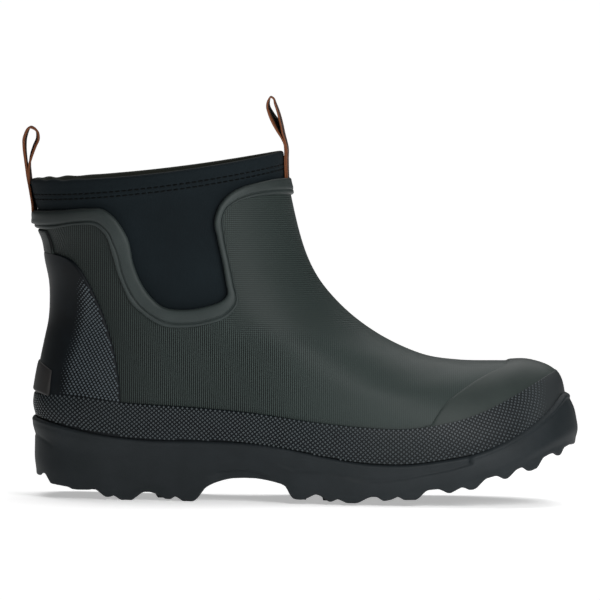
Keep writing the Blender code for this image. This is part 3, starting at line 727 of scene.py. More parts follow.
def make_bootie():
    """A ring of profiles: outer rows, a half round over the rim, then the inner rows downward. The way up
    each column is counted from the rim."""
    theta_ring = even_angles(ROUND + 1, 0.9)[:-1]
    theta, v = np.meshgrid(theta_ring, BOOTIE_ROWS)
    outer = layer(theta, v, bootie_outside(theta, v))
    inner = layer(theta, v, INSIDE)
    turn = np.linspace(0, math.pi, RIM_ROWS)[:, None]
    outside = bootie_outside(theta_ring, 1.0)
    middle, half = (outside + INSIDE) / 2, (outside - INSIDE) / 2
    rim = layer(theta_ring, 1.0, middle + half * np.cos(turn))
    rim[..., 2] += RIM_ROUND * (np.sin(turn) - 1)
    beside_strap = np.exp(-((np.abs(np.sin(theta_ring / 2)) - 0.30) / 0.14) ** 2)
    rim[..., 2] += PUCKER_HEIGHT * beside_strap * np.sin(theta_ring * PUCKER_WAVES)
    points = np.concatenate((outer, rim, inner[::-1]))
    uv = grid_lengths(points, wrap_rows=True, wrap_columns=True)
    rim_row = len(outer) + RIM_ROWS // 2
    uv[..., 1] -= uv[rim_row, :, 1].copy()
    skin = grid_skin(points, uv, wrap_rows=True, wrap_columns=True)
    return add_piece("collar_bootie", skin, NEOPRENE, ["neoprene_bootie"])


make_bootie()

# %% [markdown]
# ## Stitches in the hem
# Two rows of lockstitch hold the turned hem. Each stitch is a short bar with tapered ends; the same few
# faces are copied to every place along the rows, sunk by half so that they lie in the cloth.

# %% Hem stitches
STITCH_PITCH = 3.6
STITCH_LENGTH = STITCH_PITCH * 0.74
STITCH_RADIUS = 0.42
STITCH_STAND = 0.1
HEM_ROW = 0.97
BAR = np.array([(x, y, z) for x, r in ((-0.5, 0.35), (-0.36, 1), (0.36, 1), (0.5, 0.35))
                for y, z in ((0, -r), (r, 0), (0, r), (-r, 0))])
BAR_FACES = [[(4 * i + j, 4 * i + (j + 1) % 4, 4 * i + 4 + (j + 1) % 4, 4 * i + 4 + j)
              for i in range(3) for j in range(4)] + [(3, 2, 1, 0), (12, 13, 14, 15)]]


def make_hem_stitches():
    """Two rows of bars, one pitch apart, in the hem's troughs."""
    theta = even_angles(int(girth(HEM_ROW) / STITCH_PITCH) + 1, HEM_ROW)[:-1]
    bar = BAR * (STITCH_LENGTH, STITCH_RADIUS, STITCH_RADIUS)
    skins = []
    for trough in HEM_TROUGHS:
        v = hem_rows(theta, trough)
        centres = layer(theta, v, bootie_outside(theta, v) + STITCH_STAND)
        skins.append(scatter(bar, BAR_FACES, centres, surface_axes(theta, v), BAR[:, :2]))
    return add_piece("hem_stitches", skins[0] + skins[1], THREAD)


make_hem_stitches()

# %% [markdown]
# ## The welt along the shell's edge
# A raised band runs along the top of the shell and dips in a U round each gore. Its inner and outer edges
# were read from the side view; a profile with two low ridges and a steep outer edge is carried between
# them. Because every point is an offset of the last, the band hugs the boot all the way round.

# %% Edge band
EDGE_BAND = np.array((
    (-5.0, 159.2, -5.0, 149.2), (15.2, 160.2, 10.0, 149.6), (29.1, 161.6, 24.0, 152.2),
    (37.0, 161.4, 33.0, 152.0), (43.6, 157.0, 38.6, 147.6), (50.6, 147.0, 42.6, 137.4),
    (54.8, 131.4, 47.7, 121.8), (65.2, 112.6, 55.5, 107.6), (74.0, 106.9, 71.1, 97.1),
    (84.0, 106.4, 83.5, 96.3), (96.0, 108.6, 97.6, 98.8), (103.8, 111.7, 107.0, 102.6),
    (107.0, 115.6, 113.0, 110.6), (106.2, 121.6, 110.9, 120.7), (104.2, 132.3, 108.2, 132.4),
    (100.9, 146.2, 104.8, 148.0), (99.2, 156.2, 104.0, 158.2), (101.2, 163.5, 106.4, 163.2),
    (105.4, 169.4, 111.8, 166.6), (113.0, 174.4, 119.6, 169.0), (124.4, 177.7, 128.0, 170.2),
    (150.0, 179.2, 150.0, 169.8)))
BAND_PROFILE = (
    (1.0, 0.1), (0.985, 0.9), (0.95, 1.35), (0.90, 1.55), (0.85, 1.5), (0.80, 1.3), (0.765, 0.85),
    (0.735, 0.85), (0.70, 1.5), (0.66, 2.0), (0.58, 2.25), (0.48, 2.35), (0.38, 2.4), (0.28, 2.4),
    (0.16, 2.25), (0.07, 1.9), (0.02, 1.3), (0.0, 0.6), (0.0, -0.3), (0.5, -0.1))
# Ridges that come in at the back and the front: height, middle and half span, the last two as shares across
BACK_ANGLES, BACK_RIDGES = (0.1, 0.6), ((1.0, 0.66, 0.36),)
FRONT_ANGLES, FRONT_RIDGES = (0.2, 0.9), ((0.3, 0.88, 0.15), (-0.6, 0.3, 0.45), (0.8, 0.75, 0.1))
BAND_STEPS = 260


def band_path(steps):
    """theta and v of the band's inner and outer edges, from the back to the front, evenly stepped."""
    inner = place_on_last(EDGE_BAND[:, 0], EDGE_BAND[:, 1])
    outer = place_on_last(EDGE_BAND[:, 2], EDGE_BAND[:, 3])
    middle = last_surface((inner[0] + outer[0]) / 2, (inner[1] + outer[1]) / 2)
    travel = path_length(middle)
    even = np.linspace(0, travel[-1], steps)
    return [smooth_curve(travel, column, even) for column in (*inner, *outer)]


def make_band():
    """The profile at each step of the path on the lateral side, then mirrored along the medial side."""
    in_theta, in_v, out_theta, out_v = band_path(BAND_STEPS)
    profile = np.array(BAND_PROFILE)
    across, height = profile[:, :1], profile[:, 1:]
    theta = in_theta + (out_theta - in_theta) * across
    v = in_v + (out_v - in_v) * across
    theta = np.concatenate((theta, TURN - theta[:, -2:0:-1]), axis=1)
    v = np.concatenate((v, v[:, -2:0:-1]), axis=1)
    back = 1 - ease(np.minimum(theta, TURN - theta), *BACK_ANGLES)
    front = 1 - ease(np.abs(theta - math.pi), *FRONT_ANGLES)
    for here, ridges in ((back, BACK_RIDGES), (front, FRONT_RIDGES)):
        for rise, middle, half_span in ridges:
            height = height + rise * here * hump(across, middle, half_span)
    skin = measured_skin(layer(theta, v, height), wrap_rows=True, wrap_columns=True)
    return add_piece("shell_edge_band", skin, WELT_RUBBER, ["edge_band"])


make_band()

# %% [markdown]
# ## The rubber shell
# The shell is the last itself: a grid of its outer face, without the cells that fall inside a gore. The
# cut runs under the band, so its small steps never show, and Solidify gives the skin its real wall.

# %% Rubber shell
SHELL_ROUND, SHELL_ROWS = 340, 90
CUT_SHARE = 0.4
GORE_REAR_X, GORE_FRONT_X, ABOVE_GORE = 26, 127, 215


def inside_outline(x, z, outline):
    """True where a ray to the right crosses the outline an odd number of times."""
    inside = np.zeros(x.shape, bool)
    for (x0, z0), (x1, z1) in zip(outline, np.roll(outline, -1, axis=0)):
        straddles = (z0 > z) != (z1 > z)
        rise = z1 - z0 if z1 != z0 else 1.0
        inside ^= straddles & (x < x0 + (z - z0) / rise * (x1 - x0))
    return inside


def make_shell():
    """The last's outer face with the gores left out, thickened inward."""
    theta, v = np.meshgrid(even_angles(SHELL_ROUND + 1, 0.3)[:-1], np.linspace(0, SHELL_TOP, SHELL_ROWS))
    skin = measured_skin(layer(theta, v, 0.0), wrap_columns=True)
    path = np.array(band_path(120))
    edge = last_surface(*(path[:2] * (1 - CUT_SHARE) + path[2:] * CUT_SHARE))
    gore = edge[(edge[:, 0] > GORE_REAR_X) & (edge[:, 0] < GORE_FRONT_X)]
    outline = np.concatenate((((GORE_REAR_X, ABOVE_GORE),), gore[:, ::2], ((GORE_FRONT_X, ABOVE_GORE),)))
    middle = skin.points[skin.faces[0]].mean(axis=1)
    kept = ~inside_outline(middle[:, 0], middle[:, 2], outline)
    shell = Skin(skin.points, [skin.faces[0][kept]], [skin.corners[0][kept]])
    piece = add_piece("dipped_shell", shell, SHELL_RUBBER, ["rubber_shell"])
    wall = piece.modifiers.new("wall", "SOLIDIFY")
    wall.thickness = SHELL_WALL * MM
    wall.offset = -1
    return piece


make_shell()

# %% [markdown]
# ## Overlays: foxing, toe cap, counter and heel plates
# Thicker rubber is laid over the shell where it wears. Each overlay is a patch of the last between two
# offsets, with its edges rounded over about a millimetre. Rows and columns crowd towards the edges, so
# the rounding is smooth and the middle stays light.

# %% Overlay helpers
FOXING_TOP = np.array((
    (0, 57.0), (16, 57.6), (48, 54.4), (93, 52.2), (121, 50.2), (160, 45.4), (184, 43.4), (206, 42.8),
    (220, 44.4), (246, 50.9), (268, 61.6), (285, 71.6), (291, 74.4)))
CAP_EDGE = np.array((
    (219.5, 43.0), (228.2, 56.1), (239.8, 65.5), (250.8, 72.0), (259.7, 76.2), (264.0, 79.2)))
COUNTER_EDGE = np.array((
    (12.5, 135.2), (18.5, 133.4), (23.2, 130.0), (28.0, 123.4), (36.0, 108.2), (41.0, 95.4), (45.0, 81.5),
    (48.2, 63.7), (48.8, 52.0)))
OVERLAY_TOP = OVERLAY_GAP + OVERLAY_THICKNESS
OVERLAY_SINK = 0.3
UNDER_FOXING = 1.0
EDGE_STAND = 0.25


def edge_distance(points, rows=(True, True), columns=(True, True)):
    """Millimetres from each point of a patch to its nearest counted border, along rows and columns."""
    uv = grid_lengths(points)
    reach = np.full(points.shape[:2], np.inf)
    for axis, counted in ((1, rows), (0, columns)):
        travel = uv[..., axis]
        total = travel[-1:] if axis == 1 else travel[:, -1:]
        if counted[0]:
            reach = np.minimum(reach, travel)
        if counted[1]:
            reach = np.minimum(reach, total - travel)
    return reach


def rounded_offset(top, distance, radius):
    """Offset of an overlay's outer face: a low stand on its edge, then a quarter round up to its top."""
    return EDGE_STAND + (top - EDGE_STAND) * round_over(distance, radius)


def overlay(theta, v, top, radius, closed=False, rows=(True, True), columns=(True, True)):
    """A patch of the last, sunk a little into it; its outer face rounds down to it at the counted borders."""
    inner = layer(theta, v, -OVERLAY_SINK)
    columns = (False, False) if closed else columns
    outer = layer(theta, v, rounded_offset(top, edge_distance(inner, rows, columns), radius))
    return wall_skin(outer, inner, grid_lengths(outer, wrap_columns=closed), closed)


# %% [markdown]
# ### Knurled dots
# The foxing and the counter are covered with small raised diamonds in staggered rows, less than 2 mm
# apart. They catch the light one by one, so they are real blocks with a flat top and not a bump: six faces
# each, copied to every place of the lattice in one array. Towards a smooth area they shrink.

# %% Dots
FOXING_PITCH, FOXING_ROW = 2.62, 1.15
COUNTER_PITCH, COUNTER_ROW = 2.14, 1.32
DOT_FOOT, DOT_FLAT, DOT_HEIGHT = 0.98, 0.62, 0.55
DOT_SINK, SMALLEST_DOT = 0.08, 0.2
DOT = np.array([(r * x, r * y, z) for r, z in ((DOT_FOOT, 0), (DOT_FLAT, DOT_HEIGHT))
                for x, y in ((1, 0), (0, 1), (-1, 0), (0, -1))])
DOT_FACES = [[(0, 1, 5, 4), (1, 2, 6, 5), (2, 3, 7, 6), (3, 0, 4, 7), (4, 5, 6, 7), (3, 2, 1, 0)]]
DOT_UV = np.array([(0, -1)] * 4 + [(0, -2)] * 4)


def dots(theta, v, offset, size):
    """Blocks on an offset of the last, sunk slightly into it; those of almost no size are left out."""
    kept = size > SMALLEST_DOT
    theta, v, offset, size = theta[kept], v[kept], offset[kept], size[kept]
    centres = layer(theta, v, offset - DOT_SINK)
    return scatter(DOT, DOT_FACES, centres, surface_axes(theta, v) * size[:, None, None], DOT_UV)


# %% [markdown]
# ### Foxing band
# The band reaches from the seat up to a line read from the side view. Its dots start at points evenly
# spaced along that line, and each lower row moves square to it, so the columns fan out where it curves.

# %% Foxing band
FOXING_ROUND, FOXING_LEVELS = 400, 18
EDGE_RADIUS, RADIUS_LOSS = 2.4, 1.7
DOT_ROWS, FIRST_ROW = 28, 0.7
LOWEST_DOT = 0.006
TIP_FADE = (277, 288)


def foxing_height(x):
    """Height of the foxing band's top edge over x."""
    return curve_of(FOXING_TOP, x)


def foxing_edge(theta):
    """Radius of the band's top edge: soft on the quarters, small at the counter and the toe cap."""
    along = (1 - np.cos(theta)) / 2
    return EDGE_RADIUS - RADIUS_LOSS * (ease(along, 0.74, 0.82) + 1 - ease(along, 0.12, 0.18))


def foxing_dots():
    """theta, v and depth below the top edge, for dots in staggered rows with columns square to them."""
    fine = np.linspace(0, math.pi, 3000)
    edge = last_surface(fine, v_at_height(fine, foxing_height))
    travel = path_length(edge)
    columns = np.interp(np.arange(0.01, travel[-1], FOXING_PITCH / 2), travel, fine)
    found = []
    for row in range(DOT_ROWS):
        depth = (row + FIRST_ROW) * FOXING_ROW
        start = columns[row % 2::2]
        x = np.interp(start, fine, edge[:, 0])
        slope = (foxing_height(x + 1) - foxing_height(x - 1)) / 2
        steep = np.sqrt(1 + slope ** 2)
        v = v_at_height(start, lambda at: foxing_height(at) - depth * steep)
        share = share_along(x + depth * slope / steep, v)
        square = ease(share, 0.02, 0.15) * (1 - ease(share, 0.85, 0.98))
        theta = start + (np.arccos(1 - 2 * share) - start) * square
        v = v_at_height(theta, lambda at: foxing_height(at) - depth * steep)
        found.append(np.stack((theta, v, np.full(theta.shape, depth)))[:, v > LOWEST_DOT])
    theta, v, depth = np.concatenate(found, axis=1)
    theta = np.concatenate((theta, TURN - theta))
    return theta, np.tile(v, 2), np.tile(depth, 2)


def make_foxing():
    """A band from the seat to its top line, and dots in staggered rows that fade towards the toe's tip."""
    theta_ring = even_angles(FOXING_ROUND + 1, 0.05)[:-1]
    v = v_at_height(theta_ring, foxing_height) * np.sin(np.linspace(0, math.pi / 2, FOXING_LEVELS))[:, None]
    theta = np.broadcast_to(theta_ring, v.shape)
    skin = overlay(theta, v, OVERLAY_TOP, foxing_edge(theta), closed=True, rows=(False, True))
    theta, v, depth = foxing_dots()
    size = 1 - ease(last_surface(theta, v)[..., 0], *TIP_FADE)
    skin = skin + dots(theta, v, rounded_offset(OVERLAY_TOP, depth, foxing_edge(theta)), size)
    return add_piece("knurled_foxing", skin, FOXING_RUBBER, ["foxing_band"], sharp=30)


make_foxing()

# %% [markdown]
# ### Toe cap
# The cap fills the space between the foxing and its own rear edge. On either side it ends in a point, where
# those two lines meet, and it grows thinner towards the vamp.

# %% Toe cap
CAP_COLUMNS, CAP_ROWS = 60, 36
CAP_RADIUS = 1.8
CAP_TOP, CAP_THINNING = OVERLAY_TOP - 0.3, 0.55
LEAST_CAP = 0.012


def make_toe_cap():
    """From the foxing band up to the cap's own rear edge, meeting in a point at either side."""
    edge_theta, edge_v = place_on_last(CAP_EDGE[:, 0], CAP_EDGE[:, 1])
    edge_theta[-1] = math.pi
    share = np.sin(np.linspace(0, math.pi / 2, CAP_COLUMNS)) ** 1.2
    half = edge_theta[0] + (math.pi - edge_theta[0]) * share
    low = v_at_height(half, lambda x: foxing_height(x) - UNDER_FOXING)
    high = np.maximum(smooth_curve(edge_theta, edge_v, half), low + LEAST_CAP)
    theta = np.concatenate((half, TURN - half[-2::-1]))
    low = np.concatenate((low, low[-2::-1]))
    high = np.concatenate((high, high[-2::-1]))
    share = clustered(CAP_ROWS)[:, None]
    v = low + (high - low) * share
    theta = np.broadcast_to(theta, v.shape)
    top = CAP_TOP - CAP_THINNING * share
    skin = overlay(theta, v, top, CAP_RADIUS, rows=(False, True), columns=(False, False))
    return add_piece("smooth_toe_cap", skin, CAP_RUBBER, ["toe_cap"])


make_toe_cap()

# %% [markdown]
# ### Heel counter
# The counter wraps round the heel. Its dots lie on level rows, spaced along the surface from the middle of
# the back, and they fade towards a smooth back and top.

# %% Heel counter
COUNTER_SMOOTH = np.array((
    (50.0, 13.0), (56.0, 14.5), (73.0, 16.0), (84.0, 19.5), (104.0, 23.5), (122.0, 24.0), (136.0, 30.0)))
COUNTER_RADIUS = 2.2
COUNTER_LEVELS = np.arange(55.4, 134.0, COUNTER_ROW)
COUNTER_STEPS = np.arange(-50, 51) * COUNTER_PITCH
COUNTER_MARGIN = 1.2
COUNTER_FADE, TOP_FADE = (-2, 7), (119, 127)


def counter_patch(rows, shares):
    """theta and v over the counter: its reach shrinks towards the top, its foot follows the foxing."""
    edge_theta, edge_v = place_on_last(COUNTER_EDGE[:, 0], COUNTER_EDGE[:, 1])
    path = np.linspace(0, 1, len(edge_v))
    reach = smooth_curve(path, edge_theta[::-1], rows)
    reach_v = smooth_curve(path, edge_v[::-1], rows)
    theta = reach[:, None] * shares
    foxing = v_at_height(reach[0] * shares, lambda x: foxing_height(x) - UNDER_FOXING)
    climb = ((reach_v - edge_v[-1]) / (edge_v[0] - edge_v[-1]))[:, None]
    return theta, foxing + (edge_v[0] - foxing) * climb


def counter_dots():
    """theta, v and distance from the side edge, for dots in staggered level rows across the counter."""
    fine = np.linspace(0, 1, 400)
    rows = np.interp(COUNTER_LEVELS, last_surface(*counter_patch(fine, np.ones(1)))[:, 0, 2], fine)
    across = np.linspace(-1, 1, 401)
    middle = len(across) // 2
    theta, v = counter_patch(rows, across)
    travel = grid_lengths(layer(theta, v, 0.0))[..., 0]
    travel = travel - travel[:, middle:middle + 1]
    found = []
    for row, way in enumerate(travel):
        at = COUNTER_STEPS + (row % 2) * COUNTER_PITCH / 2
        at = at[np.abs(at) < way[-1] - COUNTER_MARGIN]
        found.append((np.interp(at, way, theta[row]), np.interp(at, way, v[row]), way[-1] - np.abs(at)))
    return np.concatenate(found, axis=1)


def make_counter():
    """The patch with rounded edges, and dots on its front half that fade to a smooth back."""
    share = clustered(60)
    theta, v = counter_patch(share, 2 * clustered(80) - 1)
    top = OVERLAY_TOP - 0.2 * (1 - ease(share, 0, 0.1))[:, None]
    skin = overlay(theta, v, top, COUNTER_RADIUS, rows=(False, True))
    theta, v, inset = counter_dots()
    spot = last_surface(theta, v)
    beyond = spot[:, 0] - curve_of(COUNTER_SMOOTH, spot[:, 2])
    size = ease(beyond, *COUNTER_FADE) * (1 - ease(spot[:, 2], *TOP_FADE))
    skin = skin + dots(theta, v, rounded_offset(OVERLAY_TOP, inset, COUNTER_RADIUS), size)
    return add_piece("knurled_counter", skin, COUNTER_RUBBER, ["heel_counter"], sharp=30)


make_counter()

# %% [markdown]
# ### Heel plates
# Two plates finish the back of the heel: a raised kick tab on the counter and a low stay above it. Each is
# given by its half angle round the heel, its lower and upper height and the arch of its top.

# %% Heel plates
KICK_TAB = (0.33, 58.4, 75.2, 3.0)
TAB_ROWS, TAB_COLUMNS = 40, 60
TAB_SINK, TAB_STAND, TAB_THINNING, TAB_RADIUS = 0.2, 1.4, 0.8, 1.5
HEEL_STAY = (0.36, 135.4, 148.6, 0.0)
STAY_ROWS, STAY_COLUMNS = 30, 50
STAY_TOP, STAY_RADIUS = 1.4, 1.2
BEHIND_HEEL = -5.0


def plate_patch(half_angle, low_z, high_z, arch, rows, columns):
    """theta and v of a plate on the back of the heel; its top falls by the arch towards either side."""
    side = 2 * clustered(columns) - 1
    levels = low_z + (high_z - arch * side ** 2 - low_z) * clustered(rows)[:, None]
    _, v = place_on_last(np.full(levels.shape, BEHIND_HEEL), levels)
    return np.broadcast_to(side * half_angle, v.shape), v


def make_plates():
    """The kick tab on the counter, its top arched, and the stay above the counter."""
    theta, v = plate_patch(*KICK_TAB, TAB_ROWS, TAB_COLUMNS)
    inner = layer(theta, v, OVERLAY_TOP - TAB_SINK)
    stand = TAB_STAND - TAB_THINNING * clustered(TAB_ROWS)[:, None] ** 2
    outer = layer(theta, v, OVERLAY_TOP + TAB_SINK + stand * round_over(edge_distance(inner), TAB_RADIUS))
    tab = wall_skin(outer, inner, grid_lengths(outer), False)
    add_piece("kick_tab", tab, TAB_RUBBER, ["heel_kick_tab"])
    theta, v = plate_patch(*HEEL_STAY, STAY_ROWS, STAY_COLUMNS)
    stay = overlay(theta, v, STAY_TOP, STAY_RADIUS)
    add_piece("heel_stay", stay, SHELL_RUBBER, ["back_stay"])


make_plates()

# %% [markdown]
# ## The outsole
# The sole is one moulded block. Its side is a wall that stands a few millimetres outside the upper, with a
# bead along its top, a lower half that stands proud under the ball, a notch before the toe bumper and a
# recess over the arch. Its lower edge rises and falls with the lugs. The underside is a height over the
# plan: edge lugs run inward from that same lower edge, and small lugs stand in line with them down the
# middle, so that light passes between the rows.

# %% Tables of the sole
UNDERSIDE = np.array((
    (0, 16.0), (10, 10.0), (25, 6.5), (40, 5.3), (54, 5.0), (66, 5.0), (78, 5.0), (88, 5.6), (98, 9.6),
    (109, 13.4), (122, 14.2), (134, 12.8), (143, 9.0), (150, 6.2), (160, 5.8), (172, 5.4), (190, 5.6),
    (205, 6.4), (214, 8.2), (222, 10.2), (236, 11.8), (252, 16.8), (260, 18.4), (268, 22.0), (282, 29.3),
    (293, 34.0), (305, 37.0)))
# Share of the way down the wall, then its stand at the heel, the waist, the ball and the toe
SOLE_LEVELS = np.array((
    (0.00, 3.2, 2.0, 1.8, 2.0), (0.12, 3.6, 2.7, 2.9, 3.6), (0.32, 2.3, 2.7, 3.1, 6.1),
    (0.50, 2.2, 2.7, 3.2, 7.3), (0.56, 2.2, 2.6, 3.2, 7.6), (0.78, 2.1, 2.3, 3.1, 8.4),
    (1.00, 1.2, 1.8, 2.5, 7.3)))
LEVEL_CHANGES = ((20, 90), (125, 150), (225, 292))
EDGE_TREAD = np.array((
    (-8.0, 12.0), (2.6, 11.7), (4.2, 11.9), (5.4, 13.4), (7.4, 13.4), (10.6, 8.0), (20.6, 6.6), (22.6, 5.5),
    (25.5, 5.2), (32.5, 5.3), (34.2, 6.0), (36.0, 5.6), (41.0, 1.7), (42.8, 1.4), (44.3, 1.7), (46.0, 2.5),
    (49.8, 0.0), (56.3, 0.0), (61.3, 4.1), (62.8, 4.7), (66.2, 4.7), (71.2, 3.2), (74.5, 1.0), (77.6, 0.9),
    (79.7, 2.6), (81.2, 2.1), (84.2, 0.0), (89.8, 0.0), (91.3, 0.8), (92.9, 2.5), (96.3, 7.4), (98.0, 8.7),
    (101.3, 10.4), (104.7, 11.6), (108.0, 12.6), (111.4, 13.3), (118.0, 13.7), (124.8, 13.6), (131.5, 12.7),
    (134.8, 12.0), (139.8, 10.7), (141.5, 9.2), (143.2, 5.7), (144.9, 3.4), (146.5, 2.7), (150.0, 2.5),
    (153.2, 3.5), (156.9, 5.5), (158.3, 5.7), (160.0, 5.2), (163.3, 3.3), (165.0, 1.8), (166.8, 1.9),
    (170.0, 3.5), (173.3, 2.1), (175.0, 1.3), (180.0, 1.3), (181.7, 1.7), (186.7, 4.4), (188.4, 5.0),
    (191.7, 5.1), (195.1, 2.9), (196.7, 3.0), (200.1, 3.8), (203.4, 5.5), (206.8, 3.6), (213.5, 3.8),
    (215.1, 4.9), (218.5, 8.5), (220.2, 9.4), (225.8, 10.0), (228.5, 9.0), (230.6, 7.9), (232.5, 7.8),
    (235.2, 9.3), (238.6, 11.2), (240.3, 10.9), (243.0, 9.7), (245.3, 10.0), (247.0, 10.9), (250.3, 14.5),
    (252.0, 16.1), (257.0, 17.6), (258.7, 17.6), (262.0, 15.9), (263.7, 16.0), (265.4, 17.4), (268.7, 21.0),
    (272.1, 22.5), (275.5, 20.2), (277.1, 20.3), (280.5, 21.7), (283.8, 27.5), (287.2, 29.2), (289.5, 29.9),
    (292.2, 28.1), (293.9, 28.6), (295.6, 32.5), (298.9, 33.9), (301.5, 33.6), (312.0, 35.5)))
EDGE_RISE = np.array((
    (130.0, 0.0), (145.0, 1.0), (175.0, 1.2), (215.0, 1.2), (238.0, 0.9), (262.0, 0.5), (280.0, 0.0)))
# Each middle lug: where it starts and ends, then its height there
CENTRE_LUGS = (
    (49.5, 59.0, 0.0, 0.0), (68.0, 77.0, 0.0, 0.0), (82.5, 93.0, 0.0, 0.0), (145.5, 154.5, 0.5, 0.2),
    (160.5, 167.5, 0.0, 0.0), (173.0, 185.0, 0.0, 0.0), (193.0, 200.5, 0.6, 1.4), (206.0, 217.0, 2.0, 3.4),
    (227.5, 236.5, 5.6, 8.6), (242.0, 248.5, 8.6, 11.4), (259.5, 267.0, 14.0, 18.4))
BALL_STEP = np.array((
    (134.0, 23.4), (137.8, 21.2), (144.5, 18.6), (160.2, 17.4), (171.4, 15.7), (183.7, 13.1), (206.1, 14.6),
    (219.4, 17.3), (232.2, 20.1), (242.2, 23.1), (250.0, 25.4)))
ARCH_STEP = np.array((
    (96.0, 13.0), (102.1, 16.7), (109.4, 17.9), (124.5, 17.6), (129.5, 16.1), (136.0, 12.0)))
HEEL_CREASE = ((3.5, 34.5), (13.5, 28.4))
UNDERCUT = 0.07
BALL_START, BALL_STEP_DEPTH, BALL_GROOVE = (134, 146), 0.7, 0.25
ARCH_START, ARCH_END, ARCH_DEPTH = (97, 106), (126, 134), 1.5
NOTCH_X, NOTCH_DEPTH = 243.9, 1.0
CREASE_DEPTH = 0.45
BEAD, TOE_BEAD, TOE_BEAD_START = 0.45, 0.5, (235, 270)
WALL_EDGE, WALL_TOP_RADIUS, WALL_FOOT_RADIUS = 0.9, 1.1, 1.2
SOLE_ROUND, WALL_ROWS, RUNG_POINTS, TOP_POINTS = 640, 46, 61, 9
FIRST_STAND, STAND_ROUNDS = 3, 6
LUG_FLANK = 1.6
EDGE_LUG_LENGTH = 25.0
CENTRE_LUG_HALF = 10.0
HEEL_BEVEL_END = 10.0


# %% The sole's side
def tread_edge(x, inward=0.0):
    """Height of the edge lugs: straight lines through the corners of the wall's lower edge, rounded by a
    short average, less a small rise that fades inward, because the ball of the sole is crowned."""
    shifts = np.linspace(-0.5, 0.5, 7)
    edge = np.mean([np.interp(x + shift, EDGE_TREAD[:, 0], EDGE_TREAD[:, 1]) for shift in shifts], axis=0)
    rise = np.interp(x, EDGE_RISE[:, 0], EDGE_RISE[:, 1])
    return edge - rise * np.clip(inward / EDGE_LUG_LENGTH, 0, 1)


def wall_stand(x, z):
    """How far the wall stands out of the upper's footprint: smooth levels, plus bead, steps and grooves."""
    top, bottom = curve_of(SEAT_LINE, x), curve_of(UNDERSIDE, x)
    fall = (top - z) / (top - bottom)
    levels = [smooth_curve(SOLE_LEVELS[:, 0], SOLE_LEVELS[:, i], fall) for i in range(1, 5)]
    out = levels[0]
    for before, after, span in zip(levels, levels[1:], LEVEL_CHANGES):
        out = out + (after - before) * ease(x, *span)
    out = out - UNDERCUT * np.clip(bottom - z, 0, None)
    ball_zone = ease(x, *BALL_START) * (1 - ease(x, NOTCH_X - 1.2, NOTCH_X))
    step_z, arch_z = curve_of(BALL_STEP, x), curve_of(ARCH_STEP, x)
    out = out - BALL_STEP_DEPTH * ball_zone * ease(z, step_z - 0.4, step_z + 1.1)
    out = out - BALL_GROOVE * ball_zone * hump(z, step_z + 1.1, 1.3)
    arch_zone = ease(x, *ARCH_START) * (1 - ease(x, *ARCH_END))
    out = out - ARCH_DEPTH * arch_zone * (1 - ease(z, arch_z - 0.9, arch_z + 0.2))
    out = out - NOTCH_DEPTH * hump(x, NOTCH_X - 0.6, 1.5) * ease(z, step_z - 0.5, step_z + 1.5)
    (x0, z0), (x1, z1) = HEEL_CREASE
    share = np.clip((x - x0) / (x1 - x0), 0, 1)
    out = out - CREASE_DEPTH * hump(z, z0 + (z1 - z0) * share, 1.1) * (1 - ease(x, x1 - 3, x1 + 1))
    bead = BEAD + TOE_BEAD * ease(x, *TOE_BEAD_START)
    return out + bead * hump(top - z, 1.5, 1.8)


def footprint(count, v=0.0):
    """Plan outline of the last at a row, and its outward directions in the plan."""
    outline = last_surface(even_angles(count + 1, v)[:-1], v)[:, :2]
    tangent = np.roll(outline, -1, axis=0) - np.roll(outline, 1, axis=0)
    outward = np.stack((tangent[:, 1], -tangent[:, 0]), axis=1)
    return outline, outward / np.linalg.norm(outward, axis=1, keepdims=True)


def sole_wall():
    """Rings from the top edge to the lower edge, each moved out by the wall's stand, found by repeating."""
    outline, outward = footprint(SOLE_ROUND)
    x = (outline + FIRST_STAND * outward)[:, 0]
    for _ in range(STAND_ROUNDS):
        x = (outline + wall_stand(x, tread_edge(x))[:, None] * outward)[:, 0]
    top, low = curve_of(SEAT_LINE, x), tread_edge(x)
    z = top + (low - top) * clustered(WALL_ROWS)[:, None]
    out = wall_stand(np.broadcast_to(x, z.shape), z)
    out = out - WALL_EDGE * (1 - round_over(top - z, WALL_TOP_RADIUS))
    out = out - WALL_EDGE * (1 - round_over(z - low, WALL_FOOT_RADIUS))
    plan = outline + outward * out[..., None]
    return np.concatenate((plan, z[..., None]), axis=-1)


# %% The sole's underside
def rungs(ring, count):
    """A ring as a ladder: points between its lateral and medial sides, from heel to toe."""
    half = len(ring) // 2
    lateral = ring[:half + 1]
    medial = np.concatenate((ring[:1], ring[:half - 1:-1]))
    share = clustered(count)[None, :, None]
    return lateral[:, None] * (1 - share) + medial[:, None] * share


def way_in(ladder):
    """Millimetres in the plan from each point of a ladder to the nearer end of its rung."""
    width = np.linalg.norm(ladder[:, -1:, :2] - ladder[:, :1, :2], axis=-1)
    share = clustered(ladder.shape[1])
    return np.minimum(share, 1 - share) * width


def centre_tread(x, base):
    """Height of the middle lugs: a ramp on each lug, the underside between them."""
    height = base
    for start, end, z_start, z_end in CENTRE_LUGS:
        ramp = np.interp(x, (start, end), (z_start, z_end))
        on = ease(x, start, start + LUG_FLANK) * (1 - ease(x, end - LUG_FLANK, end))
        height = np.minimum(height, base + (ramp - base) * on)
    return height


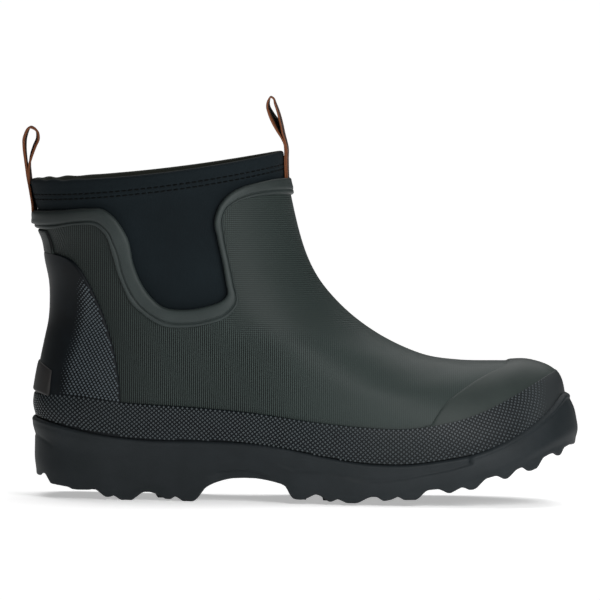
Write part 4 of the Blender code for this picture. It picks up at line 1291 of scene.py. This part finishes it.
def make_outsole():
    """Wall, underside and the flat top that carries the upper, joined into one closed block."""
    wall = sole_wall()
    under = rungs(wall[-1], RUNG_POINTS)
    x, y = under[..., 0], under[..., 1]
    inward = way_in(under)
    edge = tread_edge(x, inward)
    base = curve_of(UNDERSIDE, x)
    base = np.where(x < HEEL_BEVEL_END, np.maximum(base, edge), base)
    edge_share = 1 - ease(inward, EDGE_LUG_LENGTH - 1.5, EDGE_LUG_LENGTH + 0.5)
    height = base + (edge - base) * edge_share
    middle = np.abs(y - (under[:, :1, 1] + under[:, -1:, 1]) / 2)
    centre_share = 1 - ease(middle, CENTRE_LUG_HALF - 1.8, CENTRE_LUG_HALF)
    height = np.minimum(height, base + (centre_tread(x, base) - base) * centre_share)
    inner = slice(1, -1)
    under[inner, inner, 2] = height[inner, inner]
    top = rungs(wall[0], TOP_POINTS)[:, ::-1]
    skin = measured_skin(wall[::-1], wrap_columns=True) + measured_skin(under) + measured_skin(top)
    return add_piece("lugged_outsole", skin, SOLE_RUBBER, ["outsole"], sharp=45)


make_outsole()

# %% [markdown]
# ## The insole
# Only a strip of the footbed shows through the collar. It is a thin pad inside the bootie, crowned at its
# edge, and its felt carries the look.

# %% Insole
INSOLE_GAP = 0.9
INSOLE_THICKNESS, INSOLE_RIM, INSOLE_RADIUS = 3.2, 1.2, 2.4


def make_insole():
    """A flat bottom, an upper face rounded over along its edge, and a rim between them."""
    outline, outward = footprint(240)
    plan = outline + outward * (INSIDE - INSOLE_GAP)
    low = np.column_stack((plan, curve_of(SEAT_LINE, plan[:, 0]) + SEAT_GAP))
    bottom = rungs(low, 31)
    upper = bottom.copy()
    upper[..., 2] += INSOLE_RIM + (INSOLE_THICKNESS - INSOLE_RIM) * round_over(way_in(bottom), INSOLE_RADIUS)
    rim = np.stack([np.concatenate((face[:, 0], face[-2:0:-1, -1])) for face in (bottom, upper)])
    skin = grid_skin(bottom) + grid_skin(upper[:, ::-1]) + grid_skin(rim, wrap_columns=True)
    return add_piece("felt_insole", skin, FELT, ["insole"])


make_insole()

# %% [markdown]
# ## Pull loops
# Two folded ribbons are sewn in at the back and the front of the collar. Each is a rounded flat profile
# carried along its route in the boot's middle plane and turned a little about its middle, most of all on
# one strap of the front loop, so that its face shows. The ribbon is plain: nothing is written on it.

# %% Ribbon loops
REAR_THICKNESS = 1.3
FRONT_THICKNESS = 0.95
FACE_POINTS, EDGE_ROUND = 13, 0.5
LOOP_STEPS = 160
# Routes of the loops: x, z and the ribbon's turn in degrees
REAR_LOOP = np.array((
    (-1.6, 158.2, 6), (-1.8, 161.4, 6), (-2.3, 164.0, 5), (-3.0, 167.0, 4), (-4.0, 171.6, 3),
    (-5.3, 177.2, 2), (-6.3, 182.8, 1), (-7.1, 188.0, 1), (-7.7, 193.5, 2), (-7.5, 199.5, 3),
    (-4.6, 205.0, 0), (-1.1, 203.0, -3), (-0.4, 199.0, -5), (-2.1, 194.5, -5), (-4.1, 188.0, -3),
    (-4.8, 183.8, 0), (-4.7, 180.0, 2), (-4.4, 176.5, 3), (-4.0, 173.5, 3)))
FRONT_LOOP = np.array((
    (138.4, 178.0, 3), (138.1, 183.0, 3), (137.8, 189.5, 3), (137.8, 195.0, 3), (137.4, 198.0, 3),
    (136.1, 201.4, 5), (134.2, 205.5, 11), (131.3, 211.4, 14), (129.0, 215.5, 9), (127.6, 219.0, 5),
    (127.9, 222.5, 2), (128.9, 224.2, 0), (130.5, 223.4, 0), (131.5, 220.7, 2), (132.9, 217.1, 3),
    (134.4, 212.2, 4), (135.4, 208.4, 4), (136.5, 203.6, 4), (137.7, 199.8, 3), (138.6, 196.0, 3),
    (138.75, 189.5, 3), (139.0, 183.0, 3), (139.3, 178.0, 3)))


def ribbon_profile(thickness):
    """Corners of the ribbon's cut: across its width and through its thickness, with rounded edges."""
    half, thick = RIBBON_WIDTH / 2, thickness / 2
    face = np.linspace(-1, 1, FACE_POINTS) * (half - EDGE_ROUND)
    turn = np.linspace(math.pi / 2, -math.pi / 2, 7)[1:-1]
    edge = np.stack((half - EDGE_ROUND + EDGE_ROUND * np.cos(turn), thick * np.sin(turn)), axis=1)
    upper = np.stack((face, np.full(FACE_POINTS, thick)), axis=1)
    return np.concatenate((upper, edge, -upper, -edge))


def make_loop(name, route, thickness, node):
    """The profile along the route's x and z, turned about its middle by the route's third column."""
    travel = path_length(route[:, :2])
    even = np.linspace(0, travel[-1], LOOP_STEPS)
    line = np.stack([smooth_curve(travel, route[:, i], even) for i in range(2)], axis=1)
    tangent = np.gradient(line, axis=0)
    tangent /= np.linalg.norm(tangent, axis=1, keepdims=True)
    profile = ribbon_profile(thickness)
    wide, thick = profile[None, :, 0], profile[None, :, 1]
    turn = np.radians(smooth_curve(travel, route[:, 2], even))[:, None]
    x = line[:, :1] - tangent[:, 1:] * thick + wide * np.sin(turn)
    y = wide * np.cos(turn)
    z = line[:, 1:] + tangent[:, :1] * thick
    points = np.stack(np.broadcast_arrays(x, y, z), axis=-1)
    u = np.concatenate((profile[:, 0], profile[:1, 0]))
    uv = np.stack(np.broadcast_arrays(u[None, :], even[:, None]), axis=-1)
    skin = grid_skin(points[:, ::-1], uv[:, ::-1], wrap_columns=True)
    pair = len(profile) // 2
    for ring in (points[0], points[-1][::-1]):
        skin = skin + grid_skin(np.stack((ring[:pair], ring[:pair - 1:-1])))
    return add_piece(name, skin, RIBBON, [node])


make_loop("rear_ribbon", REAR_LOOP, REAR_THICKNESS, "rear_pull_loop")
make_loop("front_ribbon", FRONT_LOOP, FRONT_THICKNESS, "front_pull_loop")

# %% [markdown]
# ## Studio
# The boot stands on a pale floor under soft light. The camera looks at its lateral side from far away with
# a long lens, two and a half degrees above the horizon, and is rolled by one degree because the boot
# leans forward a little in the picture.

# %% Camera
PICTURE_WIDTH = 0.335
SENSOR_WIDTH = 36
CAMERA_DISTANCE = 5.0
CAMERA_ELEVATION = math.radians(2.5)
CAMERA_ROLL = math.radians(1.03)
AIM = Vector((-0.0004, 0, 0.111))


def make_camera():
    """A camera on a line through the aim point, turned about that line by its roll."""
    lens = bpy.data.cameras.new("side_camera")
    lens.sensor_width = SENSOR_WIDTH
    lens.lens = SENSOR_WIDTH * CAMERA_DISTANCE / PICTURE_WIDTH
    camera = add_object("side_camera", lens)
    toward = Vector((0, math.cos(CAMERA_ELEVATION), -math.sin(CAMERA_ELEVATION)))
    right = Vector((math.cos(CAMERA_ROLL), 0, 0)) + toward.cross(Vector((-1, 0, 0))) * math.sin(CAMERA_ROLL)
    up = right.cross(toward)
    turned = Matrix((right, up, -toward)).transposed().to_4x4()
    camera.matrix_world = Matrix.Translation(AIM - toward * CAMERA_DISTANCE) @ turned
    bpy.context.scene.camera = camera
    return camera


print("camera at", [round(c, 3) for c in make_camera().location])

# %% Floor and lights
FLOOR_REACH = 40.0
FLOOR_WHITE = (0.92, 0.92, 0.92, 1)
FLOOR_GLOW = 0.42
SKY_FROM = Vector((0, 0.46, 0.89))
SKY_STRENGTH = 2.25
SKY_SOFTNESS = math.radians(60)
BOX_PLACE = Vector((0.20, -0.42, 0.26))
BOX_AIM = Vector((0.11, 0, 0.07))
BOX_POWER = 0.86
BOX_SIZE = 0.3
BOX_SPREAD = math.radians(110)
SURROUND = 0.02


def make_floor():
    """A wide flat sheet, pale as paper, whose glow is painted light: it lightens the boot's shadow on it and
    lights the boot a little from below.
    """
    mesh = bpy.data.meshes.new("floor")
    corners = [(x * FLOOR_REACH, y * FLOOR_REACH, 0) for x, y in ((-1, -1), (1, -1), (1, 1), (-1, 1))]
    mesh.from_pydata(corners, [], [(0, 1, 2, 3)])
    material, shader, _ = start_finish("pale_floor", Roughness=0.9)
    shader.inputs["Base Color"].default_value = FLOOR_WHITE
    # Painted light: the floor glows, which lightens the boot's shadow on it.
    shader.inputs["Emission Color"].default_value = (1, 1, 1, 1)
    shader.inputs["Emission Strength"].default_value = FLOOR_GLOW
    mesh.materials.append(material)
    floor = add_object("floor", mesh)


def add_lamp(name, kind, energy, toward):
    """A lamp that shines against the direction given."""
    light = bpy.data.lights.new(name, kind)
    light.energy = energy
    lamp = add_object(name, light)
    lamp.rotation_euler = toward.to_track_quat("Z", "Y").to_euler()
    return lamp


def make_lights():
    """A wide soft light from above, a soft box by the toe, and a dim surround that the camera sees white."""
    sky = add_lamp("sky", "SUN", SKY_STRENGTH, SKY_FROM)
    sky.data.angle = SKY_SOFTNESS
    box = add_lamp("soft_box", "AREA", BOX_POWER, BOX_PLACE - BOX_AIM)
    box.location = BOX_PLACE
    box.data.size = BOX_SIZE
    box.data.spread = BOX_SPREAD
    box.visible_camera = False
    world = bpy.data.worlds.new("surround")
    world.use_nodes = True
    tree = world.node_tree
    seen = Shade(tree).node("ShaderNodeLightPath", None, None, "Is Camera Ray")
    strength = seen * (1 - SURROUND) + SURROUND
    tree.links.new(strength.socket, tree.nodes["Background"].inputs["Strength"])
    tree.nodes["Background"].inputs["Color"].default_value = (1, 1, 1, 1)
    bpy.context.scene.world = world
    bpy.context.scene.view_settings.view_transform = "Standard"


make_floor()
make_lights()
